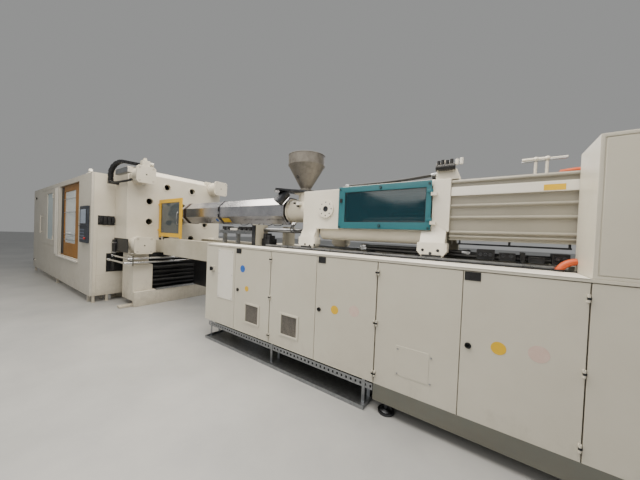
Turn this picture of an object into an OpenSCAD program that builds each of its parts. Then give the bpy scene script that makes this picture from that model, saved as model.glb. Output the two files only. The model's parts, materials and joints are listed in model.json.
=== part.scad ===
// Injection moulding machine with a two-platen clamp, in millimetres.
// X runs along the machine, with the injection unit at +X and the clamp at -X.
// The operator stands on the -Y side. Z is up and the floor is at Z = 0.
// X = 0 is the face of the fixed platen that looks at the injection unit.

/* [Machine axis and levels] */
// Height of the injection axis and of the middle of the tie bars
axis_z = 1865; // [1840:5:1890]
// Height of the top of the injection bed
bed_top_z = 1330; // [1310:5:1335]
// Thickness of a slide rail on either bed
rail_t = 38; // [30:2:42]
// Running clearance between flat sliding faces
slide_gap = 0.3; // [0.2:0.1:0.6]
// Running clearance around a shaft or a hinge pin
pin_gap = 0.05; // [0.03:0.01:0.08]

/* [Tie bars] */
// Half of the spacing of the tie bars across the machine
tie_y = 805; // [790:5:820]
// Half of the spacing of the tie bars up and down
tie_z = 682; // [665:1:695]
// Radius of a tie bar
tie_r = 110; // [95:5:115]
// Clearance between a tie bar and the moving platen
tie_gap = 1; // [0.5:0.5:3]
// Length of the tie bars beyond the mould face of the fixed platen
tie_len = 4290; // [4240:10:4340]
// Depth of the locking grooves in a tie bar
groove_depth = 9; // [4:1:14]
// Spacing of the locking grooves
groove_pitch = 60; // [50:5:80]
// Number of locking grooves on each tie bar
groove_count = 24; // [12:1:26]

/* [Platens] */
// Platen width beyond the tie bars
platen_margin_y = 195; // [185:5:200]
// Platen height beyond the tie bars
platen_margin_z = 168; // [160:2:176]
// Depth of the fixed platen along the machine
fixed_depth = 1100; // [1050:10:1150]
// Depth of the moving platen along the machine
moving_depth = 850; // [800:10:880]
// Thickness of the plate that carries a mould
mould_plate_t = 260; // [220:10:290]
// Wall thickness of the platen castings
platen_wall = 75; // [60:5:95]
// Gap between the mould faces at rest
daylight = 1900; // [1800:10:1950]
// Radius of the locating bore for the mould
locate_r = 125; // [100:5:135]
// Length of the locating bore
locate_len = 60; // [40:5:80]
// Radius of the recess that the barrel enters
barrel_recess_r = 245; // [235:5:260]
// Spacing across of the outer mould bolts
mould_bolt_y = 1120; // [980:70:1120]
// Spacing up and down of the outer mould bolts
mould_bolt_z = 840; // [700:70:840]
// Radius of a mould bolt hole
mould_bolt_r = 12; // [10:1:14]
// Depth of a mould bolt hole
mould_bolt_depth = 60; // [40:5:80]
// Radius of the core holes in the injection side of the fixed platen
core_hole_r = 65; // [55:5:75]
// Length of a clamping cylinder beyond the fixed platen
clamp_cyl_len = 300; // [270:10:320]
// Radius of a clamping cylinder
clamp_cyl_r = 158; // [145:1:162]
// Thickness of the end plate on a clamping cylinder
cap_t = 35; // [25:5:45]
// Width of the end plate
cap_w = 330; // [300:5:340]
// Height of the end plate
cap_h = 326; // [310:2:332]

/* [Clamp bed] */
// Middle of a clamp bed beam, from the centreline
clamp_beam_y = 660; // [640:5:680]
// Width of a clamp bed beam
clamp_beam_w = 200; // [160:10:220]
// Height of a clamp bed beam
clamp_beam_h = 640; // [560:10:680]
// Width of the slide rails under the moving platen
clamp_rail_w = 120; // [90:10:150]
// Thickness of the shoes under the moving platen
shoe_t = 40; // [34:2:46]
// Length of the clamp covers
cover_len = 6000; // [5950:10:6060]
// Height of the fixed platen's floor beam
floor_beam_h = 290; // [270:10:310]

/* [Clamp covers] */
// Front plane of the clamp covers, from the centreline
cover_y = 1380; // [1360:5:1400]
// Thickness of a folded cover panel
panel_t = 40; // [30:2:44]
// Lower edge of the clamp covers
cover_low_z = 130; // [110:5:160]
// Upper edge of the clamp covers
cover_top_z = 2580; // [2570:5:2620]
// Distance from the fixed platen's injection face to the end cover
end_cover_x = 623; // [600:1:640]
// Start of the gate opening, from the end cover
gate_near = 860; // [820:10:900]
// Width of the gate opening
gate_open_w = 1710; // [1660:10:1720]
// Sill of the gate opening
gate_sill_z = 780; // [760:5:800]
// Top of the gate opening
gate_head_z = 2470; // [2450:5:2480]
// Thickness of the sliding gate
gate_t = 40; // [30:2:44]
// How far the gate overlaps its opening on each side
gate_lap = 35; // [25:5:45]
// Width of the gate window
gate_window_w = 980; // [900:20:1000]
// Lower edge of the gate window
gate_window_z = 1090; // [1050:10:1140]
// Upper edge of the gate window
gate_window_top = 2330; // [2280:10:2360]
// Thickness of window panes
pane_t = 8; // [5:1:12]
// Width of the service door
service_w = 1480; // [1400:10:1500]
// Seam between service door and gate side, from the end cover
service_near = 3230; // [3225:1:3245]

/* [Injection unit] */
// Front plane of the injection blocks, from the centreline
unit_y = 400; // [385:5:405]
// Position of the feed block's left face
feed_x = 3887; // [3870:1:3900]
// Length of the feed block
feed_len = 520; // [500:5:540]
// Length of the drive space between the blocks
drive_len = 995; // [960:5:1010]
// Length of the rear block
rear_len = 150; // [130:5:160]
// Length of the folded cylinder cover
cyl_cover_len = 1190; // [1100:10:1200]
// Height of the blocks above the injection axis
unit_up = 215; // [205:1:225]
// Depth of the blocks below the injection axis
unit_down = 260; // [250:1:270]
// Radius of a guide bar
guide_r = 32; // [25:1:38]
// Stroke of the screw
screw_stroke = 550; // [450:10:560]
// Outer radius of the barrel
barrel_r = 125; // [115:1:130]
// Bore radius of the barrel
barrel_bore_r = 60; // [50:1:65]
// Half height of the folded heat shield
shield_r = 200; // [190:1:206]
// Start of the heat shield
shield_x = 470; // [460:1:480]
// Length of the heat shield
shield_len = 2880; // [2800:10:2890]
// Forward travel of the injection unit
carriage_fwd = 480; // [440:10:490]
// Distance of the injection bed's rails from the centreline
bed_rail_y = 400; // [390:5:410]

/* [Hopper] */
// Position of the hopper axis
hopper_x = 3592; // [3580:1:3604]
// Radius of the hopper's upper ring
hopper_r = 262; // [240:2:280]
// Height of the hopper above its base plate
hopper_h = 505; // [490:5:520]
// Radius of the hopper neck
hopper_neck_r = 76; // [68:1:84]
// Wall of the hopper
hopper_wall = 4; // [3:0.5:6]
// Travel of the hopper to the drain chute
hopper_travel = 280; // [270:5:290]
// Direction in which the hopper slides, in degrees around Z
hopper_turn = 228; // [222:1:234]

/* [Cabinet] */
// Left end of the cabinet
cabinet_x = 2452; // [2440:1:2464]
// Front plane of the cabinet doors, from the centreline
cabinet_y = 810; // [800:5:830]
// Width of one door bay
bay_w = 654; // [640:1:660]
// Lower edge of the doors
door_low_z = 245; // [235:5:255]
// Upper edge of the doors, below the cabinet top
door_drop = 25; // [20:1:30]
// Thickness of a folded door
door_t = 22; // [18:1:26]
// Gap between doors
seam = 5; // [4:0.5:7]
// Sheet thickness of the cabinet carcass
sheet = 8; // [5:1:10]
// Length of a cabinet hinge
hinge_h = 46; // [38:2:56]
// Radius of a hinge barrel
hinge_r = 8; // [7:0.5:9]
// Width of the tall cabinet
tall_w = 803; // [760:1:840]
// Gap between the tall cabinet and the cylinder cover
tall_clear = 10; // [6:1:20]
// Height of the tall cabinet above the cabinet top
tall_h = 841; // [800:1:880]

/* [Hidden] */
$fn = 64;

platen_y = tie_y + platen_margin_y;
platen_z = tie_z + platen_margin_z;
platen_low_z = axis_z - platen_z;
mould_x = -fixed_depth;
moving_x = mould_x - daylight;
moving_back_x = moving_x - moving_depth;
tie_end_x = mould_x - tie_len;
tie_hole_r = tie_r + tie_gap;
cap_x = clamp_cyl_len;
rail_top_z = bed_top_z + rail_t;

clamp_rail_top_z = platen_low_z - shoe_t - slide_gap;
clamp_bed_top_z = clamp_rail_top_z - rail_t;
clamp_bed_low_z = clamp_bed_top_z - clamp_beam_h;
cover_near_x = -end_cover_x;
cover_far_x = cover_near_x - cover_len;
gate_x1 = cover_near_x - gate_near;
gate_x0 = gate_x1 - gate_open_w;
gate_y = cover_y - panel_t - 8;
gate_top_z = gate_head_z + gate_lap;
rail_bar_z = gate_top_z + slide_gap;
service_x1 = cover_near_x - service_near;
service_x0 = service_x1 - service_w;
service_low_z = 950;
service_top_z = gate_head_z + 10;
hinge_out = 12;

feed_end_x = feed_x + feed_len;
rear_x = feed_end_x + drive_len;
rear_end_x = rear_x + rear_len;
unit_top_z = axis_z + unit_up;
unit_low_z = axis_z - unit_down;
guide_y = 265;
guide_z = 145;
head_x = feed_end_x + 80;
head_t = 150;
motor_r = 130;
motor_len = 210;
shield_end_x = shield_x + shield_len;
slide_z = axis_z + 255;
hopper_base_z = slide_z + 30 + slide_gap;
guard_t = 25;
guard_y = unit_y + 2;

cabinet_top_z = bed_top_z + 5;
door_top_z = cabinet_top_z - door_drop;
cabinet_back_y = bed_rail_y + 70;
cabinet_end_x = cabinet_x + 6 * bay_w;
run_end_x = cabinet_end_x + tall_w;
door_back_y = cabinet_y - door_t;
carcass_y = door_back_y - 2;
hinge_zs = [door_low_z + 89, door_low_z + 532, door_top_z - 89];

// Shared shapes

// Box given by its limits along each axis
module slab(x, y, z) {
    translate([x[0], y[0], z[0]]) cube([x[1] - x[0], y[1] - y[0], z[1] - z[0]]);
}

// Cylinder along X between two positions
module rod_x(x, y, z, r) {
    translate([x[0], y, z]) rotate([0, 90, 0]) cylinder(r = r, h = x[1] - x[0]);
}

// Cylinder along Y between two positions
module rod_y(x, y, z, r) {
    translate([x, y[0], z]) rotate([-90, 0, 0]) cylinder(r = r, h = y[1] - y[0]);
}

// Cylinder along Z between two heights
module rod_z(x, y, z, r) {
    translate([x, y, z[0]]) cylinder(r = r, h = z[1] - z[0]);
}

// The same on both sides of the centreline
module both_sides() {
    children();
    mirror([0, 1, 0]) children();
}

// The same at each of the four tie bars
module at_tie_bars() {
    for (side = [-1, 1], level = [-1, 1])
        translate([0, side * tie_y, axis_z + level * tie_z]) children();
}

// The same at the corners of a rectangle around the machine axis
module at_corners(half_y, half_z) {
    for (side = [-1, 1], level = [-1, 1])
        translate([0, side * half_y, axis_z + level * half_z]) children();
}

// Flat outline in the YZ plane, extruded along X
module profile_x(x, points) {
    translate([x[0], 0, 0]) rotate([90, 0, 90]) linear_extrude(x[1] - x[0]) polygon(points);
}

// Rectangle with cut corners, for end plates and shoes
function cut_corners(w, h, c) = [
    [-w / 2 + c, -h / 2], [w / 2 - c, -h / 2], [w / 2, -h / 2 + c], [w / 2, h / 2 - c],
    [w / 2 - c, h / 2], [-w / 2 + c, h / 2], [-w / 2, h / 2 - c], [-w / 2, -h / 2 + c]];

// Door or cover with a window opening, in the XZ plane
module framed_panel(x, y, z, window_x, window_z) {
    difference() {
        slab(x, y, z);
        slab(window_x, [y[0] - 1, y[1] + 1], window_z);
    }
}

// Pane that fills a window opening with a seat all round
module pane(y_mid, window_x, window_z) {
    slab(window_x, [y_mid - pane_t / 2, y_mid + pane_t / 2], window_z);
}

// Clamp

// Mould bolt holes and the locating bore, seen from the mould face
module mould_holes(face_x, inward) {
    depth = mould_bolt_depth;
    x0 = inward > 0 ? face_x - 1 : face_x - depth;
    x1 = inward > 0 ? face_x + depth : face_x + 1;
    at_corners(mould_bolt_y / 2, mould_bolt_z / 2) rod_x([x0, x1], 0, 0, mould_bolt_r);
    at_corners(mould_bolt_y / 4, mould_bolt_z / 4) rod_x([x0, x1], 0, 0, mould_bolt_r);
}

// Chambers between the ribs of a platen casting
module casting_chambers(x) {
    inner_y = tie_y - 190;
    both_sides() slab(x, [inner_y - 210, platen_y - platen_wall], [axis_z - 430, axis_z + 430]);
    for (level = [-1, 1])
        translate([0, 0, axis_z + level * (platen_z - platen_wall - 160)])
            slab(x, [-inner_y + 60, inner_y - 60], [-160, 160]);
}

// Core holes from the injection side into the chambers
module core_holes() {
    x = [-platen_wall - 80, 9];
    for (level = [-1, 1])
        both_sides() rod_x(x, tie_y - 195, axis_z + level * 208, core_hole_r);
    for (level = [-1, 1])
        both_sides() rod_x(x, 273, axis_z + level * 548, core_hole_r);
}

module fixed_platen() color("#CFC9BA") {
    chamfer = 100;
    top = axis_z + platen_z;
    difference() {
        union() {
            slab([mould_x, 0], [-platen_y, platen_y], [platen_low_z, top]);
            at_tie_bars() rod_x([0, cap_x], 0, 0, clamp_cyl_r);
            at_tie_bars() rod_x([0, 60], 0, 0, clamp_cyl_r + 8);
            for (level = [-1, 1])
                both_sides() rod_x([0, 8], tie_y - 195, axis_z + level * 208, core_hole_r + 22);
            both_sides() rod_x([0, 8], 273, axis_z + 548, core_hole_r + 22);
            purge_hinge_fixed();
        }
        casting_chambers([mould_x + mould_plate_t, -platen_wall]);
        core_holes();
        translate([0, 0, top]) rotate([0, 45, 0])
            cube([chamfer * sqrt(2), 1200, chamfer * sqrt(2)], center = true);
        rod_x([mould_x + 340, 1], 0, axis_z, barrel_recess_r);
        rod_x([mould_x + locate_len, mould_x + 341], 0, axis_z, locate_r - 20);
        rod_x([mould_x - 1, mould_x + locate_len], 0, axis_z, locate_r);
        at_tie_bars() rod_x([mould_x - 1, cap_x - 60], 0, 0, tie_r + pin_gap);
        mould_holes(mould_x, 1);
        both_sides() slab([cover_near_x, -20], [-platen_y - 1, -platen_y + 65],
            [platen_low_z - 1, 1270]);
        for (x = [mould_x + 150, mould_x + 550])
            both_sides() rod_z(x, 400, [top - 50, top + 1], 10);
    }
}

column_y = [600, 940];

// Columns under the fixed platen on a floor beam, with a step of checker plate in front
module platen_base() color("#CFC9BA") {
    low_z = 110;
    step_x = 270;
    slab([mould_x + 150, step_x], [-column_y[0] - 5, column_y[0] + 5], [0, floor_beam_h]);
    both_sides() {
        slab([mould_x + 150, mould_x + 420], column_y, [low_z, platen_low_z]);
        slab([-320, -20], column_y, [low_z, platen_low_z]);
        slab([-21, 200], column_y, [low_z, 800]);
        slab([199, step_x], [column_y[0], column_y[1] - 2], [0, floor_beam_h - 5]);
    }
    for (x = [mould_x + 230, 130])
        both_sides() difference() {
            slab([x - 60, x + 60], [column_y[0], platen_y + 140], [0, 40]);
            rod_z(x, platen_y + 80, [-1, 41], 15);
        }
    for (x = [mould_x + 230, 130])
        both_sides() slab([x - 60, x + 60], [column_y[0], column_y[1] - 60], [40, low_z]);
}

module clamp_cylinder_caps() color("#D6D1C4") {
    at_tie_bars() {
        difference() {
            translate([cap_x, 0, 0]) rotate([90, 0, 90])
                linear_extrude(cap_t) polygon(cut_corners(cap_w, cap_h, 34));
            for (side = [-1, 1], level = [-1, 1])
                rod_x([cap_x + cap_t - 14, cap_x + cap_t + 1], side * (cap_w / 2 - 48),
                    level * (cap_h / 2 - 42), 16);
            rod_x([cap_x + cap_t - 10, cap_x + cap_t + 1], 0, 0, 14);
        }
        for (side = [-1, 1], level = [-1, 1])
            rod_x([cap_x + cap_t - 14, cap_x + cap_t - 2], side * (cap_w / 2 - 48),
                level * (cap_h / 2 - 42), 11);
    }
    valve_block();
}

module tie_bars() color("#C9CBCF") {
    first = tie_end_x + 150;
    for (side = [-1, 1], level = [-1, 1])
        translate([0, side * tie_y, axis_z + level * tie_z]) rotate([0, -90, 0])
            rotate_extrude() polygon(concat(
                [[0, -cap_x + 62], [tie_r, -cap_x + 62]],
                [for (i = [groove_count - 1:-1:0], p = groove_points(-first - i * groove_pitch)) p],
                [[tie_r, -tie_end_x - 20], [tie_r - 20, -tie_end_x], [0, -tie_end_x]]));
}

// Valve block on top of the operator side's upper clamping cylinder
module valve_block() {
    top = axis_z + tie_z + clamp_cyl_r;
    slab([222, 325], [-tie_y - 70, -tie_y + 60], [top, top + 110]);
    rod_y(275, [-tie_y + 60, -tie_y + 130], top + 60, 38);
    rod_z(262, -tie_y - 5, [top + 110, top + 160], 30);
}

// One locking groove on the outline of a tie bar
function groove_points(at) = [
    [tie_r, at - groove_pitch / 4], [tie_r - groove_depth, at - groove_pitch / 4 + groove_depth / 2],
    [tie_r - groove_depth, at + groove_pitch / 4 - groove_depth / 2], [tie_r, at + groove_pitch / 4]];

ejector_pocket_y = 350;
ejector_pocket_z = 300;
bridge_t = 80;
ejector_rod_r = 20;

// Places of the ejector rods around the machine axis
function ejector_places() = [[0, 0], [-220, -170], [-220, 170], [220, -170], [220, 170]];

module moving_platen() color("#CFC9BA") {
    shoe_y = [clamp_beam_y - clamp_rail_w / 2, clamp_beam_y + clamp_rail_w / 2];
    lug_y = platen_y + 145;
    difference() {
        slab([moving_back_x, moving_x], [-platen_y, platen_y], [platen_low_z, axis_z + platen_z]);
        slab([moving_back_x - 1, moving_x - mould_plate_t], [-ejector_pocket_y, ejector_pocket_y],
            [axis_z - ejector_pocket_z, axis_z + ejector_pocket_z]);
        casting_side_pockets();
        at_tie_bars() rod_x([moving_back_x - 1, moving_x + 1], 0, 0, tie_hole_r);
        mould_holes(moving_x, -1);
        for (p = ejector_places())
            rod_x([moving_x - mould_plate_t - 1, moving_x + 1], p[0], axis_z + p[1],
                ejector_rod_r + pin_gap);
    }
    both_sides() slab([moving_back_x, moving_x], shoe_y,
        [clamp_rail_top_z + slide_gap, platen_low_z]);
    both_sides() difference() {
        slab([moving_back_x, moving_back_x + 120], [platen_y, lug_y], [axis_z - 70, axis_z + 70]);
        rod_x([moving_back_x + 40, moving_back_x + 121], travel_y, axis_z, travel_rod_r + pin_gap);
    }
    difference() {
        slab([moving_back_x - bridge_t, moving_back_x], [-ejector_pocket_y - 90, ejector_pocket_y + 90],
            [axis_z - 110, axis_z + 110]);
        rod_x([moving_back_x - bridge_t - 1, moving_back_x + 1], 0, axis_z, eject_rod_r + pin_gap);
    }
    difference() {
        rod_x([moving_back_x - bridge_t - 540, moving_back_x - bridge_t], 0, axis_z, 95);
        rod_x([moving_back_x - bridge_t - 520, moving_back_x - bridge_t + 1], 0, axis_z, eject_bore_r);
    }
    nut_guides();
}

// Open pockets in the sides of the moving platen
module casting_side_pockets() {
    x = [moving_back_x + platen_wall + 60, moving_x - mould_plate_t - 40];
    both_sides() for (level = [-1, 1])
        translate([0, 0, axis_z + level * 205])
            slab(x, [platen_y - 330, platen_y + 1], [-160, 160]);
}

travel_y = platen_y + 85;
travel_rod_r = 30;
travel_bore_r = 45;
travel_r = 58;
travel_near_x = cover_near_x - panel_t - 10;
travel_far_x = -2550;
eject_rod_r = 32;
eject_bore_r = 60;

module travel_cylinders() color("#3A3D42") {
    both_sides() {
        difference() {
            rod_x([travel_far_x, travel_near_x], travel_y, axis_z, travel_r);
            rod_x([travel_far_x + 40, travel_near_x - 30], travel_y, axis_z, travel_bore_r);
            rod_x([travel_far_x - 1, travel_far_x + 41], travel_y, axis_z, travel_rod_r + pin_gap);
        }
        for (x = [mould_x + 60, mould_x + 320])
            difference() {
                slab([x, x + 60], [platen_y, travel_y + 30], [axis_z - 75, axis_z + 75]);
                rod_x([x - 1, x + 61], travel_y, axis_z, travel_r + pin_gap);
            }
    }
}

module travel_rods() color("#D7DADE") {
    piston_x = travel_far_x + 690;
    both_sides() {
        rod_x([moving_back_x + 41, piston_x], travel_y, axis_z, travel_rod_r);
        rod_x([piston_x, piston_x + 50], travel_y, axis_z, travel_bore_r - 0.2);
    }
}

module ejector() color("#8F9296") {
    plate_x = moving_back_x + 210;
    slab([plate_x, plate_x + 60], [-ejector_pocket_y + 40, ejector_pocket_y - 40],
        [axis_z - ejector_pocket_z + 40, axis_z + ejector_pocket_z - 40]);
    for (p = ejector_places())
        rod_x([plate_x + 60, moving_x - 5], p[0], axis_z + p[1], ejector_rod_r);
    rod_x([moving_back_x - bridge_t - 430, plate_x], 0, axis_z, eject_rod_r);
    rod_x([moving_back_x - bridge_t - 480, moving_back_x - bridge_t - 430], 0, axis_z,
        eject_bore_r - 0.2);
}

nut_len = 220;
nut_r = 140;
nut_travel = 45;
nut_back_x = moving_back_x - 2 - nut_len;

// Guides above and below each split nut
module nut_guides() {
    for (level = [-1, 1])
        at_tie_bars() slab([nut_back_x, moving_back_x], [-150, 150],
            level > 0 ? [nut_r + slide_gap, nut_r + 24] : [-nut_r - 24, -nut_r - slide_gap]);
}

// Half of a split nut, on one side of its tie bar
module nut_half(side) {
    open = side * nut_travel;
    translate([0, open, 0]) difference() {
        slab([nut_back_x, moving_back_x - 2], side < 0 ? [-nut_r, -0.2] : [0.2, nut_r],
            [-nut_r, nut_r]);
        rod_x([nut_back_x - 1, moving_back_x - 1], 0, 0, tie_r + slide_gap);
    }
}

module nut_halves_front() color("#6D7076") at_tie_bars() nut_half(-1);

module nut_halves_rear() color("#6D7076") at_tie_bars() nut_half(1);

module clamp_bed() color("#BDB8A9") {
    beam_y = [clamp_beam_y - clamp_beam_w / 2, clamp_beam_y + clamp_beam_w / 2];
    near_x = mould_x + 150;
    far_x = cover_far_x + 300;
    stand_x = tie_end_x + 20;
    difference() {
        union() {
            both_sides() slab([far_x, near_x], beam_y, [clamp_bed_low_z, clamp_bed_top_z]);
            for (x = [far_x, stand_x - 300, near_x - 300])
                slab([x, x + 300], [-beam_y[0], beam_y[0]], [clamp_bed_low_z, clamp_bed_low_z + 250]);
            both_sides() slab([stand_x, stand_x + 110], [clamp_beam_y - 40, platen_y - 20],
                [clamp_bed_top_z, axis_z + platen_z - 60]);
            slab([stand_x, stand_x + 110], [-clamp_beam_y + 40, clamp_beam_y - 40],
                [axis_z + platen_z - 260, axis_z + platen_z - 60]);
        }
        at_tie_bars() rod_x([stand_x - 1, stand_x + 111], 0, 0, tie_r + slide_gap);
    }
    for (x = [far_x + 80, stand_x - 250, moving_x, near_x - 300])
        both_sides() slab([x, x + 220], beam_y, [60, clamp_bed_low_z]);
}

module clamp_rails() color("#5B5E63") {
    both_sides() slab([tie_end_x + 160, mould_x - 150],
        [clamp_beam_y - clamp_rail_w / 2, clamp_beam_y + clamp_rail_w / 2],
        [clamp_bed_top_z, clamp_rail_top_z]);
}

// Covers around the clamp

// Leg of a cover, down to the floor
module cover_leg(x, y) {
    slab([x, x + 50], y, [8, cover_low_z]);
    slab([x - 20, x + 70], [y[0] - 10, y[1] + 10], [0, 8]);
}

// Long cover with a gate opening, its sill, posts and running rail
module long_cover() {
    outer = [-cover_y, -cover_y + panel_t];
    post_w = 180;
    difference() {
        slab([cover_far_x, cover_near_x], outer, [cover_low_z, cover_top_z]);
        slab([gate_x0, gate_x1], [outer[0] - 1, outer[1] + 1], [gate_sill_z, gate_head_z]);
        children();
    }
    for (x = [gate_x0 - 2 * post_w - 12, gate_x0 - post_w])
        slab([x, x + post_w], [-cover_y - 12, -cover_y], [gate_sill_z - 30, gate_head_z]);
    slab([gate_x0 - post_w, gate_x1 + 20], [-cover_y - 25, -cover_y],
        [gate_sill_z - 60, gate_sill_z - 30]);
    slab([gate_x0 - gate_open_w - gate_lap, gate_x1 + gate_lap],
        [-cover_y + panel_t, -gate_y + gate_t + 15], [rail_bar_z, rail_bar_z + 40]);
    slab([gate_x0 - gate_open_w, gate_x1 + gate_lap],
        [-cover_y + panel_t, -gate_y + gate_t + 15],
        [gate_sill_z - gate_lap - 50, gate_sill_z - gate_lap - slide_gap]);
    for (x = [cover_far_x + 150, gate_x0 - 300, cover_near_x - 220])
        cover_leg(x, [-cover_y + 15, -cover_y + panel_t + 25]);
}

service_hinge_x = service_x1;
service_hinge_y = -cover_y - hinge_out;
service_hinge_zs = [service_low_z + 200, service_top_z - 200];

// Fixed knuckle and pin of the service door's hinges
module service_hinge_fixed() {
    for (z = service_hinge_zs) {
        rod_z(service_hinge_x, service_hinge_y, [z - 60, z], 10);
        rod_z(service_hinge_x, service_hinge_y, [z, z + 58], 5);
        slab([service_hinge_x + 3, service_hinge_x + 45], [service_hinge_y + 4, -cover_y],
            [z - 60, z]);
    }
}

module front_cover() color("#B3AFA6") {
    long_cover()
        slab([service_x0, service_x1], [-cover_y - 1, -cover_y + panel_t + 1],
            [service_low_z, service_top_z]);
    service_hinge_fixed();
    for (z = [cover_low_z + 230, cover_top_z - 260])
        rod_y(cover_far_x + 330, [-cover_y - 22, -cover_y], z, 26);
}

module rear_cover() color("#B3AFA6") mirror([0, 1, 0]) long_cover();

module end_covers() color("#CFC9BA") {
    inner_y = cover_y - panel_t;
    x = [cover_near_x - panel_t, cover_near_x];
    both_sides() difference() {
        union() {
            slab(x, [-inner_y, -platen_y], [cover_low_z, cover_top_z]);
            slab(x, [-inner_y, -835], [cover_low_z, 590]);
        }
        slab([x[0] - 1, x[1] + 1], [-platen_y - 130, -platen_y + 1], [590, 975]);
        slab([x[0] - 1, x[1] + 1], [-platen_y - 5, -platen_y + 1], [974, 1275]);
        slab([x[1] - 6, x[1] + 1], [-inner_y + 50, -inner_y + 56], [cover_low_z + 60, 1500]);
        slab([x[1] - 6, x[1] + 1], [-inner_y + 60, -inner_y + 220], [524, 532]);
    }
    slab([cover_far_x, cover_far_x + panel_t], [-inner_y, inner_y], [cover_low_z, cover_top_z]);
    slab([cover_far_x + panel_t, cover_far_x + panel_t + 60], [-inner_y, inner_y],
        [cover_top_z - 60, cover_top_z]);
    both_sides() for (y = [-inner_y + 5, -platen_y - 120])
        cover_leg(cover_near_x - 60, [y, y + 40]);
}

gate_window_x1 = gate_x1 - 480;
gate_window_x0 = gate_window_x1 - gate_window_w;
gate_mid_y = -gate_y + gate_t / 2;

module gate(window_x, window_z) {
    y = [-gate_y, -gate_y + gate_t];
    difference() {
        slab([gate_x0 - gate_lap, gate_x1 + gate_lap], y, [gate_sill_z - gate_lap, gate_top_z]);
        slab(window_x, [y[0] - 1, y[1] + 1], window_z);
        slab([gate_x1 - 110, gate_x1 - 70], [y[0] - 1, y[0] + 18], [1500, 1800]);
    }
    slab([gate_x1 - 95, gate_x1 - 85], [y[0] + 2, y[0] + 18], [1500, 1800]);
}

window_span_x = [gate_window_x0, gate_window_x1];
window_span_z = [gate_window_z, gate_window_top];

module front_gate() color("#D9951F") gate(window_span_x, window_span_z);

module front_gate_pane() color("#C9D3D6", 0.4) pane(gate_mid_y, window_span_x, window_span_z);

module rear_gate() color("#D9951F") mirror([0, 1, 0]) gate(window_span_x, window_span_z);

module rear_gate_pane() color("#C9D3D6", 0.4)
    mirror([0, 1, 0]) pane(gate_mid_y, window_span_x, window_span_z);

service_window_x = [service_x1 - 790, service_x1 - 100];
service_window_z = [1110, 2370];

module service_door() color("#B9B6AD") {
    y = [-cover_y, -cover_y + panel_t];
    gap = 4;
    difference() {
        slab([service_x0 + gap, service_x1 - gap], y, [service_low_z + gap, service_top_z - gap]);
        slab(service_window_x, [y[0] - 1, y[1] + 1], service_window_z);
    }
    for (z = service_hinge_zs)
        difference() {
            union() {
                rod_z(service_hinge_x, service_hinge_y, [z + 0.5, z + 60], 10);
                slab([service_hinge_x - 45, service_hinge_x - 3], [service_hinge_y + 4, -cover_y],
                    [z + 0.5, z + 60]);
            }
            rod_z(service_hinge_x, service_hinge_y, [z, z + 61], 5 + pin_gap);
        }
    handle_x = service_x0 + 90;
    for (z = [1290, 1740])
        rod_y(handle_x, [-cover_y - 45, -cover_y], z, 9);
    rod_z(handle_x, -cover_y - 45, [1260, 1770], 11);
}

module service_pane() color("#A9C4CF", 0.5)
    pane(-cover_y + panel_t / 2, service_window_x, service_window_z);

hmi_x0 = cover_near_x - 585;
hmi_w = 500;
hmi_z0 = 1180;
hmi_z1 = 1920;
hmi_y = cover_y + 42;
stop_x = hmi_x0 + hmi_w - 75;
stop_z = hmi_z0 + 90;

module control_panel() color("#1E2430") {
    screen_x = [hmi_x0 + 60, hmi_x0 + hmi_w - 60];
    difference() {
        slab([hmi_x0, hmi_x0 + hmi_w], [-hmi_y, -cover_y], [hmi_z0, hmi_z1]);
        slab(screen_x, [-hmi_y - 1, -hmi_y + 6], [hmi_z1 - 360, hmi_z1 - 60]);
        slab([hmi_x0 + 35, hmi_x0 + hmi_w - 115], [-hmi_y - 1, -hmi_y + 3],
            [hmi_z0 + 50, hmi_z1 - 430]);
        rod_y(stop_x, [-hmi_y - 1, -hmi_y + 30], stop_z, 9 + pin_gap);
    }
    for (column = [0:7], row = [0:3])
        slab([hmi_x0 + 48 + column * 41, hmi_x0 + 80 + column * 41], [-hmi_y, -hmi_y + 3],
            [hmi_z0 + 62 + row * 60, hmi_z0 + 100 + row * 60]);
    slab([hmi_x0 + 20, hmi_x0 + hmi_w - 20], [-hmi_y - 25, -hmi_y], [hmi_z1 - 404, hmi_z1 - 392]);
}

module stop_button() color("#B32020") {
    rod_y(stop_x, [-hmi_y - 12, -hmi_y + 20], stop_z, 9);
    rod_y(stop_x, [-hmi_y - 30, -hmi_y - 12], stop_z, 21);
}

module connector_bank() color("#15171A") {
    x = [cover_near_x, cover_near_x + 60];
    slab([x[0], x[0] + 12], [-platen_y - 275, -platen_y - 10], [1552, 1738]);
    for (i = [0:3])
        slab([x[0] + 12, x[1]], [-platen_y - 268 + i * 66, -platen_y - 214 + i * 66],
            i == 0 || i == 3 ? [1600, 1700] : [1565, 1725]);
    for (i = [0:3])
        rod_x([x[1], x[1] + 22], -platen_y - 241 + i * 66, 1650, 14);
}

pipe_r = 19;
pipe_block_x = cover_near_x - panel_t - 82;

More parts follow.
